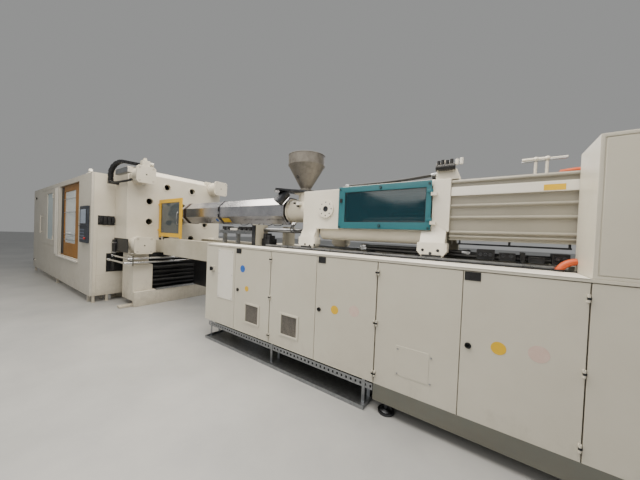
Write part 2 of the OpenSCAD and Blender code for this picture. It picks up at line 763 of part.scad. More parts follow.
// Two polished pipes from a manifold, past the pedestal and across to the far beam of the bed
module hydraulic_pipes() color("#D7DADE") {
    turn_x = cap_x;
    side = platen_y + 5;
    for (i = [0, 1]) {
        y = -platen_y - 45 - i * 60;
        z = 935 - i * 78;
        far_y = bed_rail_y - 45 + i * 90;
        rod_z(pipe_block_x, y, [floor_beam_h, z], pipe_r);
        ball(pipe_block_x, y, z, pipe_r + 2);
        rod_x([pipe_block_x, turn_x], y, z, pipe_r);
        rod_x([cover_near_x + 40, cover_near_x + 100], y, z, pipe_r + 9);
        ball(turn_x, y, z, pipe_r + 2);
        rod_y(turn_x, [y, far_y], z, pipe_r);
        ball(turn_x, far_y, z, pipe_r + 2);
        rod_z(turn_x, far_y, [z, bed_low_z + 40], pipe_r);
    }
    slab([pipe_block_x - 50, pipe_block_x + 40], [-platen_y - 130, -platen_y - 10],
        [0, floor_beam_h]);
    slab([110, 330], [-side, 25 - side], [800, 990]);
    slab([110, 130], [-side, -column_y[1]], [820, 990]);
}

// Ball that closes a pipe bend
module ball(x, y, z, r) {
    translate([x, y, z]) sphere(r = r);
}

link_pitch = 46;
link_count = 22;
chain_turn = 25.9;

// Angle of each chain link along its loop, straight up and then over
function link_angle(i) = i < 3 ? 90 : i < 13 ? 90 - (i - 2) * 10 : -10;

// Running sums of the link steps
function chain_x(i) = i == 0 ? 0 : chain_x(i - 1) + link_pitch * cos(link_angle(i - 1));
function chain_z(i) = i == 0 ? 0 : chain_z(i - 1) + link_pitch * sin(link_angle(i - 1));

// One link: two side plates and two cross bars
module chain_link(w, h) {
    for (side = [-1, 1])
        translate([link_pitch / 2, side * (w / 2 - link_plate / 2), 0])
            cube([link_pitch + 20, link_plate, h], center = true);
    for (level = [-1, 1])
        translate([link_pitch / 2, 0, level * (h / 2 - 4)]) cube([18, w, 7], center = true);
}

link_w = 76;
link_plate = 7;

module energy_chain() color("#1B1C1E") {
    foot_z = axis_z + 575;
    foot_y = -platen_y - 130;
    translate([-470, foot_y, foot_z]) rotate([0, 0, chain_turn])
        for (i = [0:link_count - 1])
            translate([chain_x(i), 0, chain_z(i)]) rotate([0, -link_angle(i), 0])
                chain_link(link_w - (i % 2) * (2 * link_plate + 1), 58);
    translate([-470, foot_y, foot_z]) rotate([0, 0, chain_turn])
        for (i = [1:link_count - 1])
            rod_y(chain_x(i), [-link_w / 2 - 2, link_w / 2 + 2], chain_z(i), 6);
    slab([-510, -430], [foot_y - 40, -platen_y], [foot_z - 60, foot_z - 3]);
}

// Foot with its pad and levelling screw, standing on the floor
module foot(x, y, top_z) {
    rod_z(x, y, [0, 22], 70);
    translate([x, y, 22]) cylinder(r1 = 55, r2 = 30, h = 14);
    rod_z(x, y, [36, top_z], 20);
}

module levelling_feet() color("#4B4E53") {
    stand_x = tie_end_x + 20;
    for (x = [cover_far_x + 490, stand_x - 140, moving_x + 110, mould_x - 40])
        both_sides() foot(x, clamp_beam_y, 60);
    for (x = bed_leg_xs())
        both_sides() foot(x + 70, bed_rail_y, 60);
    for (x = [cabinet_end_x - 1200, run_end_x - 60])
        foot(x, -cabinet_y + 60, 100);
}

// Injection side

// Left edges of the legs under the injection bed
function bed_leg_xs() = [cabinet_x + 60, run_end_x - 330];

module injection_bed() color("#BDB8A9") {
    beam_y = [bed_rail_y - 70, bed_rail_y + 70];
    beam_low = bed_low_z;
    end_x = run_end_x - 40;
    both_sides() slab([cap_x + cap_t + 15, end_x], beam_y, [beam_low, bed_top_z]);
    both_sides() slab([0, cap_x + cap_t + 15], beam_y, [beam_low + 40, bed_top_z - 40]);
    for (x = [700, cabinet_x + 60, feed_x + 900, run_end_x - 330])
        slab([x, x + 140], [-beam_y[0], beam_y[0]], [beam_low + 30, beam_low + 190]);
    for (x = bed_leg_xs())
        both_sides() slab([x, x + 140], beam_y, [60, beam_low]);
    difference() {
        slab([tank_x[0], tank_x[1]], [-tank_y, tank_y], [tank_low_z, beam_low]);
        slab([tank_x[0] + 6, tank_x[1] - 6], [-tank_y + 6, tank_y - 6], [tank_low_z + 6, beam_low - 6]);
        rod_z(tank_x[0] + 400, 0, [beam_low - 10, beam_low + 1], 160);
    }
    both_sides() difference() {
        slab([anchor_x, anchor_x + 60], [carriage_cyl_y - 60, bed_rail_y + 40],
            [bed_top_z, carriage_cyl_z + 70]);
        rod_x([anchor_x - 1, anchor_x + 61], carriage_cyl_y, carriage_cyl_z, anchor_rod_r + pin_gap);
    }
}

bed_low_z = bed_top_z - 330;
tank_x = [cabinet_x + 460, run_end_x - 900];
tank_y = bed_rail_y + 55;
tank_low_z = 300;
carriage_cyl_y = 255;
carriage_cyl_z = unit_low_z - 35;
carriage_cyl_r = 95;
anchor_rod_r = 30;
anchor_x = feed_x - 900;

module bed_rails() color("#46484C") {
    both_sides() slab([feed_x - 620, cabinet_end_x - 40], [bed_rail_y - 40, bed_rail_y + 40],
        [bed_top_z, rail_top_z]);
    both_sides() rod_x([anchor_x, feed_x + 900], carriage_cyl_y, carriage_cyl_z, anchor_rod_r);
}

// Foot of an injection block, with its flared cheek and shoe on the rail
module unit_foot(x, w) {
    shoe_z = rail_top_z + slide_gap;
    mid_z = shoe_z + 130;
    top_w = w - 40;
    cheek_y = unit_y + 55;
    both_sides() {
        slab([x + 20, x + w - 20], [bed_rail_y - 70, unit_y], [mid_z - 20, unit_low_z]);
        translate([x + w / 2, -bed_rail_y + 70, 0]) rotate([90, 0, 0])
            linear_extrude(cheek_y - bed_rail_y + 70) polygon([
                [-w / 2 + 30, shoe_z + 14], [w / 2 - 30, shoe_z + 14], [w / 2, shoe_z + 50],
                [w / 2, mid_z], [-w / 2, mid_z], [-w / 2, shoe_z + 50]]);
        slab([x + 35, x + w - 35], [-bed_rail_y - 50, -bed_rail_y + 50], [shoe_z, shoe_z + 14]);
        profile_x([x + 20, x + w - 20], [[-unit_y, mid_z], [-cheek_y, mid_z], [-unit_y, unit_low_z]]);
    }
}

module feed_block() color("#D2CDC0") {
    feed_foot_x = feed_x - 20;
    difference() {
        union() {
            slab([feed_x, feed_end_x], [-unit_y, unit_y], [unit_low_z, unit_top_z - 15]);
            unit_foot(feed_foot_x, 250);
            rod_y(feed_end_x - 175, [-unit_y - 22, -unit_y], axis_z - 27, 104);
        }
        rod_x([feed_x - 1, feed_x + 200], 0, axis_z, barrel_r + pin_gap);
        rod_x([feed_x, feed_end_x + 1], 0, axis_z, barrel_bore_r + 2);
        rod_y(feed_end_x - 175, [-unit_y - 23, -unit_y - 6], axis_z - 27, 30);
        for (i = [0:7])
            rotate_about_y(feed_end_x - 175, axis_z - 27, i * 45)
                rod_y(78, [-unit_y - 23, -unit_y - 12], 0, 8);
        at_corners(guide_y, guide_z) rod_x([feed_end_x - 80, feed_end_x + 1], 0, 0, guide_r + pin_gap);
        both_sides() rod_x([feed_x + 230, feed_end_x + 1], carriage_cyl_y, carriage_cyl_z,
            carriage_cyl_r + 1);
        both_sides() rod_x([feed_x - 30, feed_x + 231], carriage_cyl_y, carriage_cyl_z, anchor_rod_r + 6);
    }
}

// Turn children about an axis along Y
module rotate_about_y(x, z, angle) {
    translate([x, 0, z]) rotate([0, angle, 0]) children();
}

module rear_block() color("#D2CDC0") {
    foot_w = 255;
    difference() {
        union() {
            slab([rear_x, rear_end_x], [-unit_y, unit_y], [unit_low_z, unit_top_z]);
            unit_foot(rear_end_x - foot_w, foot_w);
            guard_hinge_fixed();
        }
        rod_x([rear_x - 1, rear_end_x + 1], 0, axis_z, motor_r + 30);
        at_corners(guide_y, guide_z) rod_x([rear_x - 1, rear_x + 80], 0, 0, guide_r + pin_gap);
        both_sides() rod_x([rear_x - 1, rear_end_x + 1], inject_y, axis_z, inject_rod_r + pin_gap);
        both_sides() rod_x([rear_x - 120, rear_x + 100], carriage_cyl_y, carriage_cyl_z,
            carriage_cyl_r + 1);
        for (z = [unit_low_z + 60:90:unit_top_z - 50])
            both_sides() rod_x([rear_end_x - 10, rear_end_x + 1], unit_y - 22, z, 9);
    }
}

module guide_bars() color("#D7DADE")
    at_corners(guide_y, guide_z) rod_x([feed_end_x - 80, rear_x + 80], 0, 0, guide_r);

inject_y = 255;
inject_rod_r = 34;
inject_bore_r = 66;
inject_len = screw_stroke + 300;
shaft_r = 44;

module drive_head() color("#4A4E55") {
    difference() {
        slab([head_x, head_x + head_t], [-unit_y + 50, unit_y - 50], [axis_z - 195, axis_z + 195]);
        at_corners(guide_y, guide_z) rod_x([head_x - 1, head_x + head_t + 1], 0, 0, guide_r + pin_gap);
        rod_x([head_x - 1, head_x + head_t - 40], 0, axis_z, shaft_r + 20 + pin_gap);
    }
    rod_x([head_x + head_t, head_x + head_t + motor_len], 0, axis_z, motor_r);
    both_sides() {
        rod_x([head_x + head_t, rear_end_x + 130], inject_y, axis_z, inject_rod_r);
        rod_x([rear_end_x + 130, rear_end_x + 190], inject_y, axis_z, inject_bore_r - 0.2);
    }
}

module screw() color("#A9ACB1") {
    tip_x = shield_x - 560;
    flight_x0 = tip_x + 60;
    flight_len = hopper_x + 160 - flight_x0;
    turns = 30;
    rod_x([flight_x0, head_x + 40], 0, axis_z, barrel_bore_r - 18);
    rod_x([head_x + 40, head_x + head_t - 42], 0, axis_z, shaft_r + 20);
    translate([tip_x, 0, axis_z]) rotate([0, 90, 0]) cylinder(r1 = 8, r2 = barrel_bore_r - 18, h = 60);
    translate([flight_x0, 0, axis_z]) rotate([0, 90, 0])
        linear_extrude(flight_len, twist = -360 * turns, slices = turns * 12, segments = 4)
            polygon([[0, -11], [barrel_bore_r - 1, -7], [barrel_bore_r - 1, 7], [0, 11]]);
}

module barrel() color("#6A6C70") {
    tip_x = shield_x - 1067;
    front_x = shield_x - 597;
    difference() {
        union() {
            rod_x([front_x, feed_x + 200], 0, axis_z, barrel_r);
            for (i = [0:5])
                rod_x([front_x + 20 + i * 90, front_x + 95 + i * 90], 0, axis_z, barrel_r + 14);
            rod_x([shield_x - 22, shield_x - 2], 0, axis_z, shield_r - 12);
            translate([front_x - 150, 0, axis_z]) rotate([0, 90, 0])
                cylinder(r1 = 55, r2 = barrel_r - 10, h = 150);
            rod_x([tip_x + 40, front_x - 150], 0, axis_z, 42);
            translate([tip_x, 0, axis_z]) rotate([0, 90, 0]) cylinder(r1 = 16, r2 = 42, h = 40);
        }
        rod_x([shield_x - 570, feed_x + 201], 0, axis_z, barrel_bore_r);
        rod_x([tip_x - 1, shield_x - 569], 0, axis_z, 7);
        rod_z(hopper_x, 0, [axis_z, axis_z + barrel_r + 1], barrel_bore_r - 4);
    }
}

module heat_shield() color("#B9B9BE") {
    fold_r = shield_r / cos(22.5);
    wall = 3;
    clamp_xs = [shield_x + 40, shield_x + 1300, shield_end_x - 80];
    translate([shield_x, 0, axis_z]) rotate([0, 90, 0]) rotate(22.5) linear_extrude(shield_len)
        difference() {
            circle(r = fold_r, $fn = 8);
            circle(r = fold_r - wall, $fn = 8);
        }
    for (x = clamp_xs)
        translate([x, 0, axis_z]) rotate([0, 90, 0]) rotate(22.5) difference() {
            linear_extrude(44) circle(r = fold_r + 5, $fn = 8);
            translate([0, 0, -1]) linear_extrude(46) circle(r = fold_r - 0.1, $fn = 8);
        }
    for (x = [shield_x + 40, shield_end_x - 80])
        difference() {
            translate([x, 0, axis_z]) rotate([0, 90, 0]) rotate(22.5)
                linear_extrude(8) circle(r = fold_r - wall, $fn = 8);
            rod_x([x - 1, x + 9], 0, axis_z, barrel_r + pin_gap);
        }
}

throat_r = 165;

module feed_throat() color("#CFCBBE") {
    difference() {
        union() {
            rod_x([shield_end_x + 12, feed_x - 60], 0, axis_z, throat_r);
            rod_x([feed_x - 60, feed_x], 0, axis_z, throat_r + 34);
            rod_z(hopper_x, 0, [axis_z, slide_z], 98);
            slab([hopper_x - 120, hopper_x + 120], [-110, 110], [slide_z - 20, slide_z]);
            rod_x([shield_end_x + 12, shield_end_x + 40], 0, axis_z, throat_r + 14);
        }
        rod_x([shield_end_x, feed_x + 1], 0, axis_z, barrel_r + pin_gap);
        rod_z(hopper_x, 0, [axis_z, slide_z + 1], barrel_bore_r - 4);
    }
}

// Local frame of the hopper slide: +X is the way the hopper slides
module slide_frame() {
    translate([hopper_x, 0, slide_z]) rotate([0, 0, hopper_turn]) children();
}

module hopper_slide() color("#3B3A3A") slide_frame() {
    difference() {
        slab([-130, hopper_travel + 160], [-125, 125], [0, 30]);
        rod_z(0, 0, [-1, 31], barrel_bore_r - 4);
        rod_z(hopper_travel, 0, [-1, 31], barrel_bore_r - 4);
    }
    difference() {
        translate([hopper_travel, 0, 0]) rotate([0, 143, 0]) cylinder(r = 72, h = 195);
        translate([hopper_travel, 0, 0]) rotate([0, 143, 0]) translate([0, 0, -60])
            cylinder(r = barrel_bore_r, h = 260);
        slab([hopper_travel - 150, hopper_travel + 150], [-150, 150], [0, 80]);
    }
}

module hopper() color("#8B8985") {
    base_z = hopper_base_z;
    cone_z = hopper_h - 145;
    lip_r = hopper_r + 3;
    translate([hopper_x, 0, base_z]) rotate_extrude() polygon([
        [barrel_bore_r - 4, 0], [hopper_neck_r + 40, 0], [hopper_neck_r + 40, 14],
        [hopper_neck_r, 14], [hopper_neck_r, 40], [hopper_r, cone_z], [lip_r, cone_z],
        [lip_r, cone_z + 8], [hopper_r, cone_z + 8], [hopper_r, hopper_h],
        [hopper_r - hopper_wall, hopper_h], [hopper_r - hopper_wall, cone_z],
        [hopper_neck_r - hopper_wall, 42], [hopper_neck_r - hopper_wall, 14],
        [barrel_bore_r - 4, 14]]);
    translate([hopper_x - 22, -137, base_z + 196]) rotate([120, 0, -10]) cylinder(r = 20, h = 26);
}

// Fixed enclosure of the drive space: rounded lid, rear wall and belly
module drive_housing() color("#DEDAD0") {
    lid_r = 60;
    span = [feed_end_x, rear_x];
    lid_z = unit_top_z - 15;
    profile_x(span, concat(
        [[unit_y - 6, lid_z], [unit_y - 6, lid_z + 8]],
        [for (a = [0:15:90]) [-unit_y + 20 + lid_r - lid_r * sin(a), lid_z + lid_r * cos(a) - 26]],
        [[-unit_y + 20, lid_z - 40], [-unit_y + 34, lid_z - 40], [-unit_y + 34, lid_z]]));
    slab(span, [unit_y - 6, unit_y], [unit_low_z, lid_z + 8]);
}

guard_hinge_x = rear_x + 2;
guard_hinge_y = -guard_y - guard_t - 8;
guard_hinge_zs = [unit_low_z + 90, unit_top_z - 120];

// Fixed knuckles and pins of the drive guard, on the rear block
module guard_hinge_fixed() {
    for (z = guard_hinge_zs) {
        rod_z(guard_hinge_x, guard_hinge_y, [z - 30, z], 9);
        rod_z(guard_hinge_x, guard_hinge_y, [z, z + 29], 4);
        slab([guard_hinge_x, guard_hinge_x + 40], [guard_hinge_y - 4, -unit_y], [z - 30, z]);
    }
}

module drive_guard() color("#3E8E92") {
    y = [-guard_y - guard_t, -guard_y];
    x = guard_x;
    z = guard_z;
    difference() {
        slab(x, y, z);
        slab(guard_window_x, [y[0] - 1, y[1] + 1], guard_window_z);
    }
    for (px = [x[0] + 14, x[1] - 26], pz = [z[0] + 16, z[1] - 30])
        rod_y(px + 6, [y[0] - 6, y[0]], pz, 8);
    rod_y((x[0] + x[1]) / 2, [y[0] - 12, y[0]], z[1] - 34, 12);
    rod_y((x[0] + x[1]) / 2, [y[0] - 12, y[0]], z[0] + 34, 12);
    slab([x[0] + 26, x[0] + 46], [y[0] - 10, y[0]], [axis_z + 40, axis_z + 76]);
    for (hinge_z = guard_hinge_zs)
        difference() {
            union() {
                rod_z(guard_hinge_x, guard_hinge_y, [hinge_z + 0.5, hinge_z + 30], 9);
                slab([x[1] - 34, guard_hinge_x], [guard_hinge_y - 4, y[0]],
                    [hinge_z + 0.5, hinge_z + 30]);
            }
            rod_z(guard_hinge_x, guard_hinge_y, [hinge_z, hinge_z + 31], 4 + pin_gap);
        }
}

guard_x = [feed_end_x + 4, rear_x - 4];
guard_z = [unit_low_z + 8, unit_top_z - 4];
guard_window_x = [guard_x[0] + 80, guard_x[1] - 46];
guard_window_z = [guard_z[0] + 70, guard_z[1] - 64];

module drive_guard_pane() color("#0F3A3E", 0.6)
    pane(-guard_y - guard_t / 2, guard_window_x, guard_window_z);

// Folds of the cylinder cover as [height below the top, how far the sheet stands out]
cover_folds = [[0, -34], [0, -12], [14, 0], [26, 0], [36, -14], [70, -14], [84, 0], [140, 0],
    [154, -20], [216, -20], [226, 0], [238, 0], [250, -20], [320, -20], [330, 0], [342, 0],
    [354, -20], [450, -20], [460, -2], [472, -2], [482, -20], [490, -20], [498, -4], [508, -4],
    [518, -20], [528, -20], [536, -10]];

module cylinder_cover() color("#C4C0B2") {
    wall = 5;
    span = [rear_end_x, rear_end_x + cyl_cover_len];
    top = unit_top_z - 12;
    outer = unit_y - 15;
    front = [for (f = cover_folds) [-outer - f[1], top - f[0]]];
    inner = [for (i = [len(cover_folds) - 1:-1:0])
        [-outer - cover_folds[i][1] + wall, top - cover_folds[i][0] - (i < 2 ? wall : 0)]];
    both_sides() profile_x(span, concat([[0, top]], front, inner, [[0, top - wall]]));
    slab([span[1], span[1] + 6], [-outer, outer], [top - 536, top]);
}

module hydraulic_cylinders() color("#C9C4B6") {
    both_sides() {
        difference() {
            rod_x([feed_x + 232, rear_x + 98], carriage_cyl_y, carriage_cyl_z, carriage_cyl_r);
            rod_x([feed_x + 290, rear_x + 60], carriage_cyl_y, carriage_cyl_z, carriage_cyl_r - 30);
            rod_x([feed_x + 231, feed_x + 291], carriage_cyl_y, carriage_cyl_z, anchor_rod_r + pin_gap);
        }
        difference() {
            rod_x([rear_end_x, rear_end_x + inject_len + 40], inject_y, axis_z, inject_bore_r + 14);
            rod_x([rear_end_x + 40, rear_end_x + inject_len], inject_y, axis_z, inject_bore_r);
            rod_x([rear_end_x - 1, rear_end_x + 41], inject_y, axis_z, inject_rod_r + pin_gap);
        }
    }
}

module hose_manifold() color("#DAD5C9") {
    z = unit_top_z;
    x0 = rear_x + 10;
    slab([x0, x0 + 130], [-unit_y + 60, -unit_y + 340], [z, z + 14]);
    slab([x0 + 129, x0 + 190], [-unit_y + 60, -unit_y + 340], [z + 6, z + 14]);
    for (side = [0, 1])
        translate([x0, -unit_y + 60 + side * 270, z + 14]) rotate([90, 0, 0]) translate([0, 0, -10])
            linear_extrude(10) polygon([[0, 0], [190, 0], [190, 20], [140, 150], [0, 150]]);
    rod_y(x0 + 70, [-unit_y + 70, -unit_y + 330], z + 84, 55);
    for (i = [0:5]) {
        rod_z(x0 + 70, -unit_y + 92 + i * 43, [z + 132, z + 190], 13);
        rod_z(x0 + 70, -unit_y + 92 + i * 43, [z + 156, z + 174], 17);
    }
    valve_x = rear_end_x + 588;
    top = z - 12;
    for (i = [0, 1]) {
        rod_z(valve_x + i * 70, -250, [top, top + 134], 10);
        translate([valve_x + i * 70, -250, top + 140]) sphere(r = 20);
    }
    rod_x([valve_x - 88, valve_x + 70], -250, top + 140, 14);
    rod_x([valve_x + 70, valve_x + 190], -250, top + 140, 8);
}

purge_y = 400;
purge_t = 30;
purge_hinge_x = 14;
purge_hinge_y = -purge_y - purge_t - 12;
purge_hinge_zs = [1480, 2010];

// Fixed knuckles and pins of the purge guard, on the fixed platen
module purge_hinge_fixed() {
    for (z = purge_hinge_zs) {
        rod_z(purge_hinge_x, purge_hinge_y, [z - 30, z], 9);
        rod_z(purge_hinge_x, purge_hinge_y, [z, z + 29], 4);
        slab([0, purge_hinge_x], [purge_hinge_y - 5, purge_hinge_y + 5], [z - 30, z]);
    }
}

purge_x = [7, 917];
purge_z = [1364, 2130];
purge_window_x = [purge_x[0] + 75, purge_x[1] - 75];
purge_window_z = [purge_z[0] + 75, purge_z[1] - 75];

module purge_guard() color("#D6A71E") {
    framed_panel(purge_x, [-purge_y - purge_t, -purge_y], purge_z, purge_window_x, purge_window_z);
    for (x = [purge_x[0], purge_x[1] - 60])
        slab([x, x + 60], [-purge_y - purge_t + 4, -purge_y - 4], [purge_z[0] - 22, purge_z[0]]);
    for (z = purge_hinge_zs)
        difference() {
            union() {
                rod_z(purge_hinge_x, purge_hinge_y, [z + 0.5, z + 30], 9);
                slab([purge_hinge_x, purge_hinge_x + 30], [purge_hinge_y - 4, -purge_y - purge_t],
                    [z + 0.5, z + 30]);
            }
            rod_z(purge_hinge_x, purge_hinge_y, [z, z + 31], 4 + pin_gap);
        }
}

module purge_guard_pane() color("#AEBFC6", 0.4)
    pane(-purge_y - purge_t / 2, purge_window_x, purge_window_z);

// Cabinet along the front

// Seams between the door bays
function seam_x(i) = cabinet_x + i * bay_w;

module cabinet_shell() color("#BDB9AA") {
    top = [cabinet_top_z - sheet, cabinet_top_z];
    back = [-cabinet_back_y - sheet, -cabinet_back_y];
    floor_z = [door_low_z, door_low_z + sheet];
    slab([cabinet_x, run_end_x], [-cabinet_y - 4, -cabinet_back_y], top);
    slab([cabinet_x, run_end_x], [-cabinet_y - 4, -cabinet_y + 14], [door_top_z + 5, top[0]]);
    slab([cabinet_x, run_end_x], back, [door_low_z, top[0]]);
    slab([cabinet_x, run_end_x], [-carcass_y, back[0]], floor_z);
    for (x = [cabinet_x, run_end_x - sheet])
        slab([x, x + sheet], [-carcass_y, back[0]], [floor_z[1], top[0]]);
    for (i = [2, 4, 6])
        slab([seam_x(i) - sheet / 2, seam_x(i) + sheet / 2], [-carcass_y + 30, back[0]],
            [floor_z[1], top[0]]);
    for (i = [1:6])
        slab([seam_x(i) - 25, seam_x(i) + 25], [-carcass_y, -carcass_y + 30], [floor_z[1], top[0]]);
    slab([cabinet_end_x + seam / 2, run_end_x], [-cabinet_y, -carcass_y], [door_low_z, door_top_z]);
}

hinge_y = -cabinet_y - hinge_out;
hinge_side = 11;
hinge_pin_r = 4;

// Which leaves a hinge seam carries, as signs towards the left and right door
function hinge_leaves(i) = i == 6 ? [-1] : [-1, 1];

module cabinet_hinges() color("#1B1C1E") {
    third = hinge_h / 6;
    for (i = [2, 4, 6], z = hinge_zs) {
        slab([seam_x(i) - 1.5, seam_x(i) + 1.5], [hinge_y, -carcass_y], [z - third + 1, z + third - 1]);
        for (side = hinge_leaves(i)) {
            rod_z(seam_x(i) + side * hinge_side, hinge_y, [z - third + 0.5, z + third - 0.5], hinge_r);
            rod_z(seam_x(i) + side * hinge_side, hinge_y, [z - hinge_h / 2, z + hinge_h / 2],
                hinge_pin_r);
            slab([min(0, side * hinge_side) + seam_x(i), max(0, side * hinge_side) + seam_x(i)],
                [hinge_y - 4, hinge_y + 4], [z - third + 1, z + third - 1]);
        }
    }
}

// Knuckles of a door around the hinge pins at one of its edges
module door_knuckles(seam_i, side) {
    third = hinge_h / 6;
    x = seam_x(seam_i) + side * hinge_side;
    for (z = hinge_zs, end = [-1, 1])
        difference() {
            union() {
                rod_z(x, hinge_y, end < 0 ? [z - hinge_h / 2, z - third] : [z + third, z + hinge_h / 2],
                    hinge_r);
                slab([x - hinge_r, x + hinge_r], [hinge_y, -cabinet_y],
                    end < 0 ? [z - hinge_h / 2, z - third] : [z + third, z + hinge_h / 2]);
            }
            rod_z(x, hinge_y, [z - hinge_h, z + hinge_h], hinge_pin_r + pin_gap);
        }
}

// Folded door between two seams, with knuckles on its hinge edge
module leaf(first, hinge_seam, hinge_from) {
    x = [seam_x(first) + seam / 2, seam_x(first + 1) - seam / 2];
    difference() {
        slab(x, [-cabinet_y, -door_back_y], [door_low_z, door_top_z]);
        children();
    }
    door_knuckles(hinge_seam, hinge_from);
}

// Slots of a vent grille
module vent_slots(x, z) {
    slot = 9;
    pitch = 18;
    count = floor((x[1] - x[0]) / pitch);
    for (i = [0:count - 1])
        slab([x[0] + i * pitch, x[0] + i * pitch + slot], [-cabinet_y - 1, -door_back_y + 1], z);
}

// Raised frame around a vent grille
module vent_frame(x, z) {
    framed_panel([x[0] - 22, x[1] + 22], [-cabinet_y - 9, -cabinet_y], [z[0] - 22, z[1] + 22], x, z);
}

// Round lock insert in a door
module lock_insert(x) {
    rod_y(x, [-cabinet_y - 8, -cabinet_y], door_low_z + 529, 17);
}

vent_1_x = [seam_x(1) + 238, seam_x(1) + 468];
vent_2_x = [seam_x(2) + 196, seam_x(2) + 426];
vent_z = [door_low_z + 158, door_low_z + 372];

module cabinet_door_1() color("#BDB9AA") {
    leaf(1, 2, -1) vent_slots(vent_1_x, vent_z);
    vent_frame(vent_1_x, vent_z);
    lock_insert(seam_x(1) + 70);
}

module cabinet_door_2() color("#BDB9AA") {
    leaf(2, 2, 1) vent_slots(vent_2_x, vent_z);
    vent_frame(vent_2_x, vent_z);
}

module cabinet_door_3() color("#BDB9AA") {
    leaf(3, 4, -1);
    lock_insert(seam_x(3) + 50);
}

module cabinet_door_4() color("#BDB9AA") {
    leaf(4, 4, 1);
    slab([seam_x(4) + 185, seam_x(4) + 450], [-cabinet_y - 3, -cabinet_y],
        [door_low_z + 145, door_low_z + 390]);
}

module cabinet_door_5() color("#BDB9AA") {
    leaf(5, 6, -1);
    lock_insert(seam_x(5) + 50);
}

switch_x = cabinet_x + 168;
switch_z = door_low_z + 750;

module switch_panel() color("#BDB9AA") {
    difference() {
        union() {
            slab([cabinet_x, seam_x(1) - seam / 2], [-cabinet_y, -carcass_y], [door_low_z, door_top_z]);
            slab([switch_x + 117, switch_x + 457], [-cabinet_y - 4, -cabinet_y],
                [door_low_z + 360, door_top_z - 30]);
            slab([switch_x - 36, switch_x + 36], [-cabinet_y - 24, -cabinet_y],
                [switch_z - 36, switch_z + 36]);
        }
        rod_y(switch_x, [-cabinet_y - 25, -cabinet_y - 4], switch_z, 8 + pin_gap);
    }
}

module main_switch() color("#191A1C") {
    rod_y(switch_x, [-cabinet_y - 24 - slide_gap, -cabinet_y - 6], switch_z, 8);
    rod_y(switch_x, [-cabinet_y - 40, -cabinet_y - 24 - slide_gap], switch_z, 27);
    slab([switch_x - 7, switch_x + 7], [-cabinet_y - 54, -cabinet_y - 40],
        [switch_z - 26, switch_z + 26]);
}

module plinth() color("#6F716B") {
    x0 = seam_x(4);
    slab([x0, run_end_x], [-cabinet_y, -cabinet_y + 60], [100, door_low_z]);
    slab([x0, x0 + 60], [-cabinet_y + 60, -cabinet_back_y], [100, door_low_z]);
    slab([run_end_x - 60, run_end_x], [-cabinet_y + 60, -cabinet_back_y], [100, door_low_z]);
}

module under_trays() color("#8C8F92") {
    x = [cabinet_x + 40, seam_x(4) - 20];
    y = [-cabinet_y + 40, -cabinet_y + 160];
    base_z = 150;
    difference() {
        slab(x, y, [base_z, base_z + 60]);
        slab([x[0] - 1, x[1] + 1], [y[0] + 3, y[1] - 3], [base_z + 3, base_z + 61]);
        for (i = [0:50])
            slab([x[0] + 30 + i * 50, x[0] + 48 + i * 50], [y[0] - 1, y[1] + 1],
                [base_z + 20, base_z + 42]);
    }
    for (hanger_x = [x[0] + 60, (x[0] + x[1]) / 2, x[1] - 100])
        tray_hanger(hanger_x, y);
    difference() {
        slab([cabinet_x + 100, seam_x(4) - 60], [-cabinet_y - 50, -cabinet_back_y - 20], [0, 35]);
        slab([cabinet_x + 106, seam_x(4) - 66], [-cabinet_y - 44, -cabinet_back_y - 26], [6, 36]);
    }
}

// Hangers of the cable tray, from the drip pan up to the cabinet floor
module tray_hanger(x, y) {
    for (edge = [y[0] - 4, y[1]])
        slab([x, x + 30], [edge, edge + 4], [6, door_low_z]);
}

module tall_cabinet() color("#C2BEB0") {
    x = [cabinet_end_x, run_end_x];
    y = [-cabinet_y, -unit_y + 15 - tall_clear];
    z = [cabinet_top_z, cabinet_top_z + tall_h];
    difference() {
        slab(x, y, z);
        for (edge = [x[0] + 22, x[1] - 26])
            slab([edge, edge + 4], [y[0] - 1, y[0] + 6], [z[0] + 20, z[1] - 22]);
        for (level = [z[0] + 20, z[1] - 26])
            slab([x[0] + 22, x[1] - 22], [y[0] - 1, y[0] + 6], [level, level + 4]);
    }
}

module rear_covers() color("#BDB9AA") {
    back = [cabinet_y - door_t, cabinet_y];
    slab([cabinet_x, run_end_x], [cabinet_back_y, cabinet_y + 4], [cabinet_top_z - sheet, cabinet_top_z]);
    for (i = [0:5])
        difference() {
            slab([seam_x(i) + seam / 2, seam_x(i + 1) - seam / 2], back,
                [door_low_z, cabinet_top_z - sheet]);
            for (k = [0:9])
                slab([seam_x(i) + 200, seam_x(i) + 450], [back[0] - 1, back[1] + 1],
                    [door_low_z + 150 + k * 20, door_low_z + 160 + k * 20]);
        }
    slab([cabinet_end_x + seam / 2, run_end_x], back, [door_low_z, cabinet_top_z - sheet]);
    slab([cabinet_x, run_end_x], [cabinet_back_y, cabinet_back_y + sheet],
        [door_low_z, cabinet_top_z - sheet]);
    for (i = [0:6])
        slab([seam_x(i), seam_x(i) + sheet], [cabinet_back_y + sheet, back[0]],
            [door_low_z, cabinet_top_z - sheet]);
    for (x = [cabinet_x + 60, run_end_x - 140])
        slab([x, x + 80], [cabinet_y - 140, cabinet_y - 60], [0, door_low_z]);
    slab([cabinet_x, run_end_x], [cabinet_back_y + sheet, back[0]], [door_low_z, door_low_z + sheet]);
}

